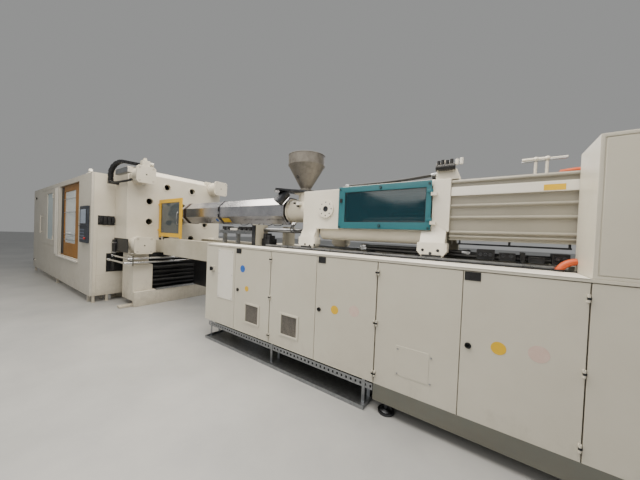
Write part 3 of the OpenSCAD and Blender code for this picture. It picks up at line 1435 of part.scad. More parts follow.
fixed_platen();
platen_base();
clamp_cylinder_caps();
tie_bars();
moving_platen();
travel_cylinders();
travel_rods();
ejector();
nut_halves_front();
nut_halves_rear();
clamp_bed();
clamp_rails();
front_cover();
rear_cover();
end_covers();
front_gate();
front_gate_pane();
rear_gate();
rear_gate_pane();
service_door();
service_pane();
control_panel();
stop_button();
connector_bank();
hydraulic_pipes();
energy_chain();
levelling_feet();
injection_bed();
bed_rails();
feed_block();
rear_block();
guide_bars();
drive_head();
screw();
barrel();
heat_shield();
feed_throat();
hopper_slide();
hopper();
drive_housing();
drive_guard();
drive_guard_pane();
cylinder_cover();
hydraulic_cylinders();
hose_manifold();
purge_guard();
purge_guard_pane();
cabinet_shell();
cabinet_hinges();
switch_panel();
main_switch();
cabinet_door_1();
cabinet_door_2();
cabinet_door_3();
cabinet_door_4();
cabinet_door_5();
plinth();
under_trays();
tall_cabinet();
rear_covers();
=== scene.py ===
import json
import math
import bpy
import bmesh
from mathutils import Matrix, Vector


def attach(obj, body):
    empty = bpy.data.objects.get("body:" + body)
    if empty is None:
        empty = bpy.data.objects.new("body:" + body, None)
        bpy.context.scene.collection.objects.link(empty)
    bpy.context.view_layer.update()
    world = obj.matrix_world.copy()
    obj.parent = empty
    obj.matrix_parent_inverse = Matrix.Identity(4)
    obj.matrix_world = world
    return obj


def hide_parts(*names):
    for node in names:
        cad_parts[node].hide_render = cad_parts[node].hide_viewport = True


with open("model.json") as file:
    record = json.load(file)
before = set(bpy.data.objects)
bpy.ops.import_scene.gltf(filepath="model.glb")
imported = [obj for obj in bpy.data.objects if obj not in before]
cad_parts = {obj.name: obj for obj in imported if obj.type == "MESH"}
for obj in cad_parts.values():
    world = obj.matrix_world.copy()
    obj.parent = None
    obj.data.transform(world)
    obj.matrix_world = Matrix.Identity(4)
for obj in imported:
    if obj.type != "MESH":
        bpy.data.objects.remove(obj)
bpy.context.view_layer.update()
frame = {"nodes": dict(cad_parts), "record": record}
print("frame loaded,", len(frame["nodes"]), "nodes")


# Camera, floor and light
cameraSet = {
    "place": (5.910, -2.935, 1.527),
    "yaw": 34.67,  # degrees left of straight at the machine
    "down": 1.12,
    "roll": 2.35,
    "lens": 14.37,
}


def placeCamera():
    yaw, down, roll = (math.radians(cameraSet[k]) for k in ("yaw", "down", "roll"))
    right = Vector((math.cos(yaw), math.sin(yaw), 0))
    ahead = Vector((-math.sin(yaw) * math.cos(down), math.cos(yaw) * math.cos(down), -math.sin(down)))
    up = right.cross(ahead)
    right2 = math.cos(roll) * right + math.sin(roll) * up
    up2 = math.cos(roll) * up - math.sin(roll) * right
    data = bpy.data.cameras.new("camera")
    data.lens = cameraSet["lens"]
    data.sensor_width = 36
    data.clip_start = 0.02
    data.clip_end = 200
    camera = bpy.data.objects.new("camera", data)
    bpy.context.scene.collection.objects.link(camera)
    turn = Matrix((right2, up2, -ahead)).transposed()
    camera.matrix_world = Matrix.Translation(cameraSet["place"]) @ turn.to_4x4()
    bpy.context.scene.camera = camera


lightSet = {
    "sky": "#E4E5E4",
    "skyStrength": 0.40,
    "lamps": [  # name, place, aimed at, size, watts, colour
        ("overhead", (0.5, -0.6, 6.8), (0.5, -0.4, 0), 8.0, 980, "#FFF7EA"),
        ("overNear", (5.2, -1.6, 5.6), (5.0, -0.5, 1.0), 4.0, 290, "#FFF8EE"),
        ("nearSide", (3.0, -6.5, 5.0), (3.2, -0.5, 1.0), 5.0, 190, "#FFF9F0"),
        ("rightEnd", (9.5, -1.5, 4.5), (4.0, -0.2, 1.6), 3.0, 60, "#FFF9F0"),
        ("behind", (2.0, 7.0, 6.0), (1.0, 0.0, 1.2), 7.0, 260, "#F3F6FF"),
    ],
}


def hexColour(text, alpha=1.0):
    values = [int(text[i:i + 2], 16) / 255 for i in (1, 3, 5)]
    return tuple(v / 12.92 if v <= 0.04045 else ((v + 0.055) / 1.055) ** 2.4 for v in values) + (alpha,)


def addNode(tree, kind, settings=None, links=None):
    node = tree.nodes.new(kind)
    for name, value in (settings or {}).items():
        if isinstance(name, str) and hasattr(node, name):
            setattr(node, name, value)
        else:
            node.inputs[name].default_value = value
    for name, source in (links or {}).items():
        tree.links.new(source, node.inputs[name])
    return node


def placeLights():
    world = bpy.data.worlds.new("softHall")
    world.use_nodes = True
    back = world.node_tree.nodes["Background"]
    back.inputs["Color"].default_value = hexColour(lightSet["sky"])
    back.inputs["Strength"].default_value = lightSet["skyStrength"]
    bpy.context.scene.world = world
    for name, place, aim, size, watts, colour in lightSet["lamps"]:
        data = bpy.data.lights.new(name, "AREA")
        data.shape = "DISK"
        data.size = size
        data.energy = watts
        data.color = hexColour(colour)[:3]
        lamp = bpy.data.objects.new(name, data)
        bpy.context.scene.collection.objects.link(lamp)
        lamp.location = place
        lamp.rotation_euler = (Vector(aim) - Vector(place)).to_track_quat("-Z", "Y").to_euler()


def newMaterial(name):
    material = bpy.data.materials.new(name)
    material.use_nodes = True
    tree = material.node_tree
    tree.nodes.clear()
    out = addNode(tree, "ShaderNodeOutputMaterial")
    shader = addNode(tree, "ShaderNodeBsdfPrincipled")
    tree.links.new(shader.outputs[0], out.inputs["Surface"])
    return material, tree, shader, addNode(tree, "ShaderNodeTexCoord").outputs["Object"]


def noiseNode(tree, place, scale, detail, rough=0.5):
    return addNode(tree, "ShaderNodeTexNoise", {"Scale": scale, "Detail": detail, "Roughness": rough},
                   {"Vector": place}).outputs["Fac"]


def rangeNode(tree, source, start, end, least, most):
    return addNode(tree, "ShaderNodeMapRange", {"From Min": start, "From Max": end, "To Min": least, "To Max": most},
                   {"Value": source}).outputs[0]


def toneNode(tree, source, start, end, first, second):  # runs from the first colour to the second
    tone = addNode(tree, "ShaderNodeValToRGB", None, {"Fac": source})
    for stop, place, colour in zip(tone.color_ramp.elements, (start, end), (first, second)):
        stop.position = place
        stop.color = hexColour(colour)
    return tone.outputs["Color"]


def addBump(tree, shader, source, strength, distance):
    bump = addNode(tree, "ShaderNodeBump", {"Strength": strength, "Distance": distance}, {"Height": source})
    tree.links.new(bump.outputs[0], shader.inputs["Normal"])


def deselectAll():
    if bpy.context.object and bpy.context.object.mode != "OBJECT":
        bpy.ops.object.mode_set(mode="OBJECT")
    bpy.ops.object.select_all(action="DESELECT")


def layFloor():
    deselectAll()
    bpy.ops.mesh.primitive_plane_add(size=120, location=(0, 0, -0.001))
    floor = bpy.context.object
    floor.name = "paleFloor"
    material, tree, shader, place = newMaterial("sealed concrete, trowelled")  # pale, faintly cloudy
    tone = toneNode(tree, noiseNode(tree, place, 0.7, 6.0, 0.62), 0.32, 0.70, "#8E8F8F", "#A3A3A1")
    tree.links.new(tone, shader.inputs["Base Color"])
    shader.inputs["Roughness"].default_value = 0.42
    floor.data.materials.append(material)


placeCamera()
placeLights()
layFloor()
print("camera, light and floor are set")


# Finishes
# Object coordinates are the machine's own metres, so height above the floor drives the grime.
paintSet = {
    "stretch": (26.0, 26.0, 1.6),  # draws the noise out into runs down the sheet
    "grimeHeight": 0.55,  # metres above the floor where the extra grime ends
    "grimeLow": 0.30,
    "grime": "#6F6555",
}


def paintFinish(name, **s):
    material, tree, shader, place = newMaterial(name)
    stain = noiseNode(tree, place, 9.0, 8.0, 0.72)
    stretch = addNode(tree, "ShaderNodeMapping", {"Scale": paintSet["stretch"]}, {"Vector": place})
    faint = rangeNode(tree, noiseNode(tree, stretch.outputs[0], 1.0, 5.0), 0.0, 1.0, 0.34, 0.66)
    tone = toneNode(tree, noiseNode(tree, place, 1.6, 5.0, 0.6), 0.30, 0.68, s["shade"], s["colour"])
    height = addNode(tree, "ShaderNodeSeparateXYZ", None, {"Vector": place})
    low = rangeNode(tree, height.outputs["Z"], paintSet["grimeHeight"], 0.0, 0.0, paintSet["grimeLow"])
    spread = addNode(tree, "ShaderNodeMath", {"operation": "MULTIPLY_ADD", 2: s.get("grimeAll", -0.36)},
                     {0: stain, 1: faint})
    both = addNode(tree, "ShaderNodeMath", {"operation": "ADD", "use_clamp": True}, {0: spread.outputs[0], 1: low})
    amount = rangeNode(tree, both.outputs[0], 0.0, 0.34, 0.0, s.get("grimeMax", 0.5))
    mix = addNode(tree, "ShaderNodeMix", {"data_type": "RGBA"}, {0: amount, 6: tone})
    mix.inputs[7].default_value = hexColour(paintSet["grime"])
    tree.links.new(mix.outputs[2], shader.inputs["Base Color"])
    gloss = rangeNode(tree, stain, 0.3, 0.7, s["rough"] - 0.05, s["rough"] + 0.10)
    tree.links.new(gloss, shader.inputs["Roughness"])
    addBump(tree, shader, noiseNode(tree, place, s.get("peelScale", 210.0), 2.0), s.get("peel", 0.06), 0.002)
    shader.inputs["Specular IOR Level"].default_value = 0.45
    return material


def metalFinish(name, **s):
    material, tree, shader, place = newMaterial(name)
    vary = s.get("vary", 0.06)
    cloud = noiseNode(tree, place, s.get("cloudScale", 7.0), 7.0, 0.66)
    tone = toneNode(tree, cloud, 0.33, 0.66, s["shade"], s["colour"])
    tree.links.new(tone, shader.inputs["Base Color"])
    shader.inputs["Metallic"].default_value = s.get("metallic", 1.0)
    gloss = rangeNode(tree, cloud, 0.3, 0.7, s["rough"] - vary, s["rough"] + vary)
    tree.links.new(gloss, shader.inputs["Roughness"])
    grain = addNode(tree, "ShaderNodeMapping", {"Scale": s.get("grain", (4.0, 260.0, 260.0))}, {"Vector": place})
    addBump(tree, shader, noiseNode(tree, grain.outputs[0], 1.0, 3.0), s.get("bump", 0.05), 0.001)
    return material


def plasticFinish(name, **s):
    material, tree, shader, place = newMaterial(name)
    tone = toneNode(tree, noiseNode(tree, place, 22.0, 6.0, 0.7), 0.45, 0.80, s["colour"], s["dusty"])
    tree.links.new(tone, shader.inputs["Base Color"])
    shader.inputs["Roughness"].default_value = s["rough"]
    addBump(tree, shader, noiseNode(tree, place, s.get("fine", 500.0), 1.0), s.get("bump", 0.08), 0.001)
    return material


def paneFinish(name, **s):
    material, tree, shader, place = newMaterial(name)
    haze = rangeNode(tree, noiseNode(tree, place, 5.0, 7.0, 0.7), 0.35, 0.75, s["rough"], s["rough"] + 0.12)
    tree.links.new(haze, shader.inputs["Roughness"])
    shader.inputs["Base Color"].default_value = hexColour(s["colour"])
    shader.inputs["Alpha"].default_value = s["alpha"]
    shader.inputs["IOR"].default_value = 1.585  # polycarbonate
    return material


finishes = {
    "casting_cream": paintFinish(
        "two-pack enamel on cast iron", colour="#D2CCBD", shade="#C4BDAC", peelScale=90.0, peel=0.22, rough=0.40,
        grimeAll=-0.33, grimeMax=0.55),  # faintly rough casting skin, oily dirt in patches
    "cabinet_paint": paintFinish(
        "powder coat on folded sheet", colour="#CBC7B9", shade="#C3BEAF", rough=0.36, grimeAll=-0.38, grimeMax=0.35),
    "cover_grey": paintFinish(
        "powder coat on large covers", colour="#C3BFB4", shade="#B8B3A7", rough=0.42, grimeMax=0.4),
    "bed_paint": paintFinish(
        "machine enamel on welded beams", colour="#B9B4A5", shade="#A39D8C", rough=0.45, grimeAll=-0.28,
        grimeMax=0.65),
    "machined_steel": metalFinish("ground steel, oiled", colour="#9A9C9F", shade="#77797C", rough=0.30),
    "dark_steel": metalFinish("blackened steel, oiled", colour="#55575B", shade="#3A3B3E", rough=0.42),
    "chrome_bar": metalFinish(
        "hard chrome on ground bar", colour="#DDDFE2", shade="#C8CACD", rough=0.12, bump=0.02),
    "shield_steel": metalFinish(
        "rolled stainless sheet, folded", colour="#D8D7DA", shade="#C6C5C9", rough=0.24, vary=0.03, cloudScale=3.0,
        bump=0.02),
    "hopper_steel": metalFinish(
        "stainless sheet, dulled by handling", colour="#77736C", shade="#5E5A54", rough=0.52, vary=0.10,
        cloudScale=16.0, metallic=0.45, grain=(40.0, 40.0, 200.0)),
    # painted shade: the ochre is darker than the lit paint, for the shade the gate stands in
    "gate_ochre": paintFinish(
        "ochre powder coat, darkened as painted shade", colour="#9A6A22", shade="#885C1C", rough=0.45, grimeMax=0.35),
    "guard_yellow": paintFinish(
        "signal yellow powder coat", colour="#DDB024", shade="#CDA01C", rough=0.38, grimeMax=0.3),
    "guard_teal": paintFinish(
        "teal powder coat", colour="#256770", shade="#205D67", rough=0.35, grimeMax=0.25),
    "clear_pane": paneFinish("clear polycarbonate", colour="#A9B7BE", alpha=0.30, rough=0.05),
    "tinted_pane": paneFinish("tinted polycarbonate", colour="#08303A", alpha=0.74, rough=0.03),
    "purge_clear": paneFinish("bluish polycarbonate", colour="#2E414C", alpha=0.66, rough=0.03),
    # painted light: the gate pane's near-white colour stands in for the brightness seen in the window
    "gate_clear": paneFinish("clear polycarbonate, whitened as painted light", colour="#E6EEF1", alpha=0.60, rough=0.12),
    "frosted_pane": paneFinish("frosted polycarbonate", colour="#B9CBD2", alpha=0.75, rough=0.35),
    "panel_dark": plasticFinish("moulded ABS, textured", colour="#222833", dusty="#3B414C", rough=0.45),
    "black_plastic": plasticFinish("black polyamide", colour="#121315", dusty="#2C2D31", rough=0.5),
    "stop_red": plasticFinish("red acetal", colour="#B21E1E", dusty="#B83A34", rough=0.3),
    "plinth_grey": paintFinish(
        "grey plinth enamel", colour="#696B64", shade="#5C5E58", rough=0.5, grimeMax=0.5),
    "cover_white": paintFinish(
        "pale powder coat on strips", colour="#E6E3DA", shade="#DAD6CB", rough=0.36, grimeAll=-0.42, grimeMax=0.25),
    "dull_grey": plasticFinish("grey moulded housing", colour="#8B8D8C", dusty="#A2A3A0", rough=0.45),
    "spot_blue": plasticFinish("blue vinyl disc", colour="#2B63B8", dusty="#4E7CC2", rough=0.35),
    "spot_yellow": plasticFinish("yellow vinyl", colour="#E0B420", dusty="#D2AE3E", rough=0.35),
    "spot_pale": plasticFinish("pale red vinyl disc", colour="#CDB5AA", dusty="#D3C3B8", rough=0.4),
    "grille_dark": plasticFinish("filter grille, grey moulding", colour="#5A5656", dusty="#77716C", rough=0.55),
    "key_grey": plasticFinish("membrane keys", colour="#586070", dusty="#737A86", rough=0.4),
    # painted glow: the screen's pale blue-grey colour stands in for a lit display
    "screen_glow": plasticFinish("screen glass, painted glow", colour="#8794A8", dusty="#9AA5B4", rough=0.12),
    "hose_rubber": plasticFinish(
        "oil hose, wrapped rubber", colour="#1A1B1D", dusty="#3A3936", rough=0.55, fine=260.0, bump=0.2),
    "hose_orange": plasticFinish(
        "orange cable sheath", colour="#C2501F", dusty="#A4562F", rough=0.5, fine=160.0, bump=0.15),
    "casting_light": paintFinish(
        "enamel on machined castings", colour="#E2DDD0", shade="#D3CDBE", peelScale=90.0, peel=0.18, rough=0.40,
        grimeAll=-0.34, grimeMax=0.45),
    # painted shade: the cylinder cover's panels get this darker copy of the pale cover paint, for the shade on panels
    # that face slightly down
    "cover_painted_shade": paintFinish(
        "powder coat, darkened as painted shade", colour="#989488", shade="#8B877B", rough=0.42, grimeAll=-0.35, grimeMax=0.4),
    "zinc_fitting": metalFinish(
        "zinc-plated fitting", colour="#B9BBBD", shade="#8F9194", rough=0.32, cloudScale=40.0),
    "rusted_ring": metalFinish(
        "heat-tinted steel, rusting", colour="#5B4A44", shade="#332A2A", rough=0.55, cloudScale=18.0, metallic=0.7),
    "strap_dark": metalFinish("blued spring strap", colour="#3C3C42", shade="#26262A", rough=0.38),
    "galvanised": metalFinish(
        "galvanised sheet", colour="#A2A5A8", shade="#84878B", rough=0.42, cloudScale=30.0),
}

ownFinish = {  # parts whose finish differs a little from others of the same slot; the cylinder cover's is a darker copy for painted shade, the gate pane's a whitened copy for painted light
    "cylinder_cover": "cover_painted_shade", "feed_block": "casting_light",
    "rear_block": "casting_light", "drive_housing": "casting_light", "hose_manifold": "casting_light",
    "purge_guard_pane": "purge_clear", "front_gate_pane": "gate_clear",
}
for part in frame["record"]["subparts"]:
    cadNode = frame["nodes"][part["node"]]
    cadNode.data.materials.clear()
    cadNode.data.materials.append(finishes[ownFinish.get(part["node"], part["material_slot"])])
print("finishes are on the frame")


# Softened edges
# Folded sheet and castings never have knife edges, so the big parts are copied and their long edges rounded.
softEdges = {  # radius in metres, and the parts that get it
    0.002: ("hose_manifold", "cabinet_shell"),
    0.003: ("clamp_cylinder_caps", "feed_throat", "hopper_slide", "drive_housing", "cylinder_cover", "switch_panel",
            "rear_covers", *[f"cabinet_door_{i}" for i in range(1, 6)]),
    0.004: ("clamp_bed", "front_cover", "rear_cover", "end_covers", "injection_bed", "drive_guard", "plinth"),
    0.005: ("front_gate", "rear_gate", "service_door", "drive_head", "purge_guard", "tall_cabinet"),
    0.006: ("platen_base", "control_panel", "rear_block"),
    0.007: ("feed_block",),
    0.008: ("moving_platen",),
    0.010: ("fixed_platen",),
}


def bodyOf(nodeName):
    for body, members in frame["record"]["behaviour"]["bodies"].items():
        if nodeName in members:
            return body


def levelNormals(piece):  # keeps wide faces flat in the light beside a narrow rounding
    level = piece.modifiers.new("level", "WEIGHTED_NORMAL")
    level.weight = 100
    level.keep_sharp = True
    bpy.ops.object.modifier_apply(modifier="level")


def softenNode(nodeName, radius):
    source = frame["nodes"][nodeName]
    deselectAll()
    piece = bpy.data.objects.new(nodeName + "_soft", source.data.copy())
    bpy.context.scene.collection.objects.link(piece)
    bpy.context.view_layer.objects.active = piece
    piece.select_set(True)
    bpy.ops.mesh.customdata_custom_splitnormals_clear()
    bpy.ops.object.mode_set(mode="EDIT")
    bpy.ops.mesh.select_all(action="SELECT")
    bpy.ops.mesh.remove_doubles(threshold=0.00002)
    bpy.ops.mesh.mark_sharp(clear=True)
    bpy.ops.object.mode_set(mode="OBJECT")
    form = bmesh.new()
    form.from_mesh(piece.data)
    weight = form.edges.layers.float.new("bevel_weight_edge")
    for edge in form.edges:
        if edge.is_manifold and edge.is_convex and edge.calc_length() > radius * 7:
            if edge.calc_face_angle() > math.radians(38):
                edge[weight] = 1.0
    form.to_mesh(piece.data)
    form.free()
    rounding = piece.modifiers.new("rounding", "BEVEL")
    rounding.limit_method = "WEIGHT"
    rounding.width = radius
    rounding.segments = 2
    rounding.use_clamp_overlap = False
    bpy.ops.object.modifier_apply(modifier="rounding")
    bpy.ops.object.shade_smooth_by_angle(angle=math.radians(32))
    levelNormals(piece)
    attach(piece, bodyOf(nodeName))
    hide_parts(nodeName)
    return piece


softPieces = [softenNode(name, radius) for radius, names in softEdges.items() for name in names]
print("edges are rounded on", len(softPieces), "parts")


# Small modelling steps
def boxPiece(low, high):
    deselectAll()
    bpy.ops.mesh.primitive_cube_add(size=1, location=[(a + b) / 2 for a, b in zip(low, high)])
    piece = bpy.context.object
    piece.scale = [b - a for a, b in zip(low, high)]
    bpy.ops.object.transform_apply(location=True, rotation=True, scale=True)
    return piece


def turnedPiece(start, end, radius, sides=32):
    deselectAll()
    start, end = Vector(start), Vector(end)
    bpy.ops.mesh.primitive_cone_add(vertices=sides, radius1=radius, radius2=radius, depth=(end - start).length,
                                    location=(start + end) / 2,
                                    rotation=(end - start).to_track_quat("Z", "Y").to_euler())
    bpy.ops.object.transform_apply(location=True, rotation=True, scale=True)
    return bpy.context.object


def pickFaces(piece, test):
    bpy.ops.object.mode_set(mode="EDIT")
    bpy.ops.mesh.select_mode(type="FACE")
    bpy.ops.mesh.select_all(action="DESELECT")
    bpy.ops.object.mode_set(mode="OBJECT")
    for face in piece.data.polygons:
        face.select = test(face)
    bpy.ops.object.mode_set(mode="EDIT")


def insetFaces(piece, test, border, depth):
    pickFaces(piece, test)
    bpy.ops.mesh.inset(thickness=border, depth=0)
    bpy.ops.mesh.extrude_region_shrink_fatten(TRANSFORM_OT_shrink_fatten={"value": depth})
    bpy.ops.object.mode_set(mode="OBJECT")


def roundEdges(piece, width, steps=2):
    deselectAll()
    bpy.context.view_layer.objects.active = piece
    piece.select_set(True)
    rounding = piece.modifiers.new("rounding", "BEVEL")
    rounding.width = width
    rounding.segments = steps
    rounding.angle_limit = math.radians(30)
    bpy.ops.object.modifier_apply(modifier="rounding")
    bpy.ops.object.shade_smooth_by_angle(angle=math.radians(35))
    levelNormals(piece)
    return piece


def copyAt(piece, matrix):
    copy = piece.copy()
    copy.data = piece.data.copy()
    copy.data.transform(matrix)
    bpy.context.scene.collection.objects.link(copy)
    return copy


def moved(x=0.0, y=0.0, z=0.0):
    return Matrix.Translation((x, y, z))


def repeatPiece(first, moves):  # a copy at each move, and the first is taken away
    copies = [copyAt(first, move) for move in moves]
    bpy.data.objects.remove(first)
    return copies


def joinPieces(pieces):
    if len(pieces) == 1:
        return pieces[0]
    deselectAll()
    for piece in pieces:
        piece.select_set(True)
    bpy.context.view_layer.objects.active = pieces[0]
    bpy.ops.object.join()
    return bpy.context.object


def finishPiece(piece, name, finish, body):
    piece.name = name
    piece.data.name = name
    piece.data.materials.clear()
    piece.data.materials.append(finishes[finish])
    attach(piece, body)


towards = {
    "+X": Matrix.Rotation(math.radians(90), 4, "Y"),
    "-Y": Matrix.Rotation(math.radians(90), 4, "X"),
    "-X": Matrix.Rotation(math.radians(-90), 4, "Y"),
}
carriage = "injection_carriage"


def screwHead(radius, height):  # socket head on a washer, standing up along Z from the origin
    washer = turnedPiece((0, 0, 0), (0, 0, height * 0.16), radius * 1.35, 24)
    head = turnedPiece((0, 0, height * 0.16), (0, 0, height), radius, 24)
    roundEdges(washer, height * 0.03, 1)
    insetFaces(head, lambda f: f.normal.z > 0.9, radius * 0.45, -height * 0.4)
    roundEdges(head, radius * 0.08, 2)
    return joinPieces([washer, head])


def placeScrews(name, radius, height, direction, places, body, finish):
    screws = repeatPiece(screwHead(radius, height), [moved(*place) @ towards[direction] for place in places])
    finishPiece(joinPieces(screws), name, finish, body)


def blockPiece(low, high, rounding, side=None, border=0.0, depth=0.0):  # side is the face that gets an inset
    piece = boxPiece(low, high)
    if side:
        axis, sign = "XYZ".index(side[1]), 1 if side[0] == "+" else -1
        insetFaces(piece, lambda f: f.normal[axis] * sign > 0.9, border, depth)
    return roundEdges(piece, rounding)


def knobPiece(start, end, radius, rounding, sides=32, recess=0.0, depth=0.0):  # recess is set into the far end
    way = (Vector(end) - Vector(start)).normalized()
    piece = turnedPiece(start, end, radius, sides)
    if recess:
        insetFaces(piece, lambda f: f.normal.dot(way) > 0.9, radius - recess, -depth)
    return roundEdges(piece, rounding)


def hosePiece(points, radius):  # follows a smooth line through the neighbourhood of its points
    deselectAll()
    data = bpy.data.curves.new("hoseLine", "CURVE")
    data.dimensions = "3D"
    data.bevel_depth = radius
    data.bevel_resolution = 2
    data.use_fill_caps = True
    line = data.splines.new("NURBS")
    line.points.add(len(points) - 1)
    for point, place in zip(line.points, points):
        point.co = (*place, 1)
    line.order_u = 4
    line.use_endpoint_u = True
    line.resolution_u = 8
    hose = bpy.data.objects.new("hose", data)
    bpy.context.scene.collection.objects.link(hose)
    bpy.context.view_layer.objects.active = hose
    hose.select_set(True)
    bpy.ops.object.convert(target="MESH")
    piece = bpy.context.object
    bpy.ops.object.shade_smooth_by_angle(angle=math.radians(50))
    return piece


def fittedHose(points, radius):  # crimped collars at both ends, sized in hose radii and returned apart
    ends = []
    for a, b in ((points[0], points[1]), (points[-1], points[-2])):
        start, way = Vector(a), (Vector(b) - Vector(a)).normalized()
        ends.append(knobPiece(start, start + way * radius * 4.2, radius * 1.35, radius * 0.15, 20))
        nut = turnedPiece(start + way * radius * 0.6, start + way * radius * 2.0, radius * 1.75, 6)
        ends.append(roundEdges(nut, radius * 0.12))
    return hosePiece(points, radius), ends


def placeHoses(name, routes, radius, body):
    hoses, ends = [], []
    for route in routes:
        hose, collars = fittedHose(route, radius)
        hoses.append(hose)
        ends += collars
    finishPiece(joinPieces(hoses), name, "hose_rubber", body)
    finishPiece(joinPieces(ends), name + "_ends", "zinc_fitting", body)


def placeTable(body, table):  # name: finish, then each shape as its maker and the maker's values
    for name, (finish, *shapes) in table.items():
        finishPiece(joinPieces([make(*values) for make, *values in shapes]), name, finish, body)


def facing(places, back, front, *shape):  # knobs that stand towards the operator at each (x, z)
    return [(knobPiece, (x, back, z), (x, front, z), *shape) for x, z in places]


# Cabinet
cabinetSet = {
    "front": -0.810,
    "plates": {"cabinet_door_1": (3.127, 3.224), "cabinet_door_3": (4.435, 4.523), "cabinet_door_5": (5.730, 5.830)},
    "plateHeight": (1.246, 1.308),
    "locks": {"cabinet_door_1": 3.176, "cabinet_door_3": 4.464, "cabinet_door_5": 5.772},
    "lockHeight": 0.777,
    "spots": (  # plain coloured discs: place along X, height, radius, finish, door
        (3.258, 1.055, 0.046, "spot_blue", "cabinet_door_1"), (3.348, 0.812, 0.034, "spot_yellow", "cabinet_door_1"),
        (4.645, 0.806, 0.042, "spot_yellow", "cabinet_door_3"), (4.854, 0.835, 0.052, "spot_pale", "cabinet_door_3"),
        (5.951, 0.806, 0.044, "spot_yellow", "cabinet_door_5"), (6.161, 0.828, 0.054, "spot_pale", "cabinet_door_5")),
    "grilles": {"cabinet_door_1": (3.344, 3.574), "cabinet_door_2": (3.956, 4.186)},
    "grilleHeight": (0.403, 0.617),
    "slatWidth": 0.0085,
    "slatPitch": 0.018,
    "slatShift": -0.0092,
    "filterMargin": 0.012,
    "hatchScrews": ((5.273, 0.607), (5.531, 0.607), (5.273, 0.403), (5.531, 0.403)),
    "switchgear": (2.742, 3.072, 0.612, 1.273),
    "switchRims": (2.580, 2.6495),
}


def dressCabinet():
    s = cabinetSet
    front, lockZ, margin = s["front"], s["lockHeight"], s["filterMargin"]
    z0, z1 = s["plateHeight"]
    for door, (x0, x1) in s["plates"].items():
        placeTable(door, {"blank_plate_" + door: ("black_plastic", (
            blockPiece, (x0, front - 0.004, z0), (x1, front - 0.0003, z1), 0.001, "-Y", 0.004, -0.0008))})
    for door, x in s["locks"].items():
        placeTable(door, {"lock_" + door: (
            "black_plastic",
            *facing([(x, lockZ)], front - 0.0003, front - 0.012, 0.021, 0.0015, 40, 0.013, 0.004),
            *facing([(x, lockZ)], front - 0.006, front - 0.0115, 0.006, 0.0006, 3))})
    for x, z, radius, finish, door in s["spots"]:
        placeTable(door, {f"{finish}_{door}": (finish, *facing(
            [(x, z)], front - 0.0002, front - 0.0012, radius, 0.0004, 48, radius * 0.93, 0.0002))})
    low, high = s["grilleHeight"]
    for door, (x0, x1) in s["grilles"].items():
        slat = blockPiece((x0, front - 0.003, low), (x0 + s["slatWidth"], front + 0.004, high), 0.0012)
        count = int((x1 - x0) / s["slatPitch"]) + 1
        slats = repeatPiece(slat, [moved(i * s["slatPitch"] + s["slatShift"]) for i in range(1, count)])
        finishPiece(joinPieces(slats), "grille_" + door, "grille_dark", door)
        placeTable(door, {"filter_" + door: ("grille_dark", (
            blockPiece, (x0 - margin, front + 0.0225, low - margin), (x1 + margin, front + 0.030, high + margin),
            0.002, "-Y", 0.01, -0.001))})
    placeScrews("hatch_screws", 0.0055, 0.005, "-Y", [(x, front - 0.003, z) for x, z in s["hatchScrews"]],
                "cabinet_door_4", "zinc_fitting")
    x0, x1, z0, z1 = s["switchgear"]
    placeTable("machine", {"switchgear_cover": ("cover_white", (
        blockPiece, (x0, front - 0.0062, z0), (x1, front - 0.0041, z1), 0.001, "-Y", 0.012, -0.0005))})
    heights = (z0 + 0.02, (z0 + z1) / 2, z1 - 0.02)
    placeScrews("switchgear_cover_screws", 0.005, 0.004, "-Y",
                [(x, front - 0.0062, z) for x in (x0 + 0.02, x1 - 0.02) for z in heights], "machine", "zinc_fitting")
    placeTable("machine", {
        "switch_rims": ("dull_grey", *[
            (blockPiece, (x, -0.8352, 0.955), (x + 0.0105, -0.8342, 1.035), 0.0005, "-Y", 0.002, 0.0004)
            for x in s["switchRims"]]),
        "tower_gasket": ("black_plastic", (
            blockPiece, (6.392, -0.8125, 1.322), (7.165, -0.800, 1.3335), 0.002, "-Y", 0.003, -0.001)),
        # painted highlight: a paler sheet laid on the cabinet's top face, lighter for the light falling from above
        "cabinet_top_painted_highlight": ("cover_white", (
            blockPiece, (2.452, -0.8165, 1.3352), (6.372, -0.4725, 1.3372), 0.0008, "+Z", 0.004, -0.0004)),
    })


# Clamp side
clampSet = {
    "front": -1.380,
    "panelFace": -1.4222,
    "screen": (-1.142, -0.774, 1.566, 1.854),
    "bezelWidth": 0.018,
    "keys": (8, 4, 0.041, 0.060),  # columns, rows and the steps between them
    "jambs": {"left": (-3.601, -3.475), "right": (-3.421, -3.295)},
    "windowBars": (1.16, 1.29, 1.82, 2.14),
    "studs": {"top": (-6.170, 2.320), "low": (-6.410, 0.360)},
}


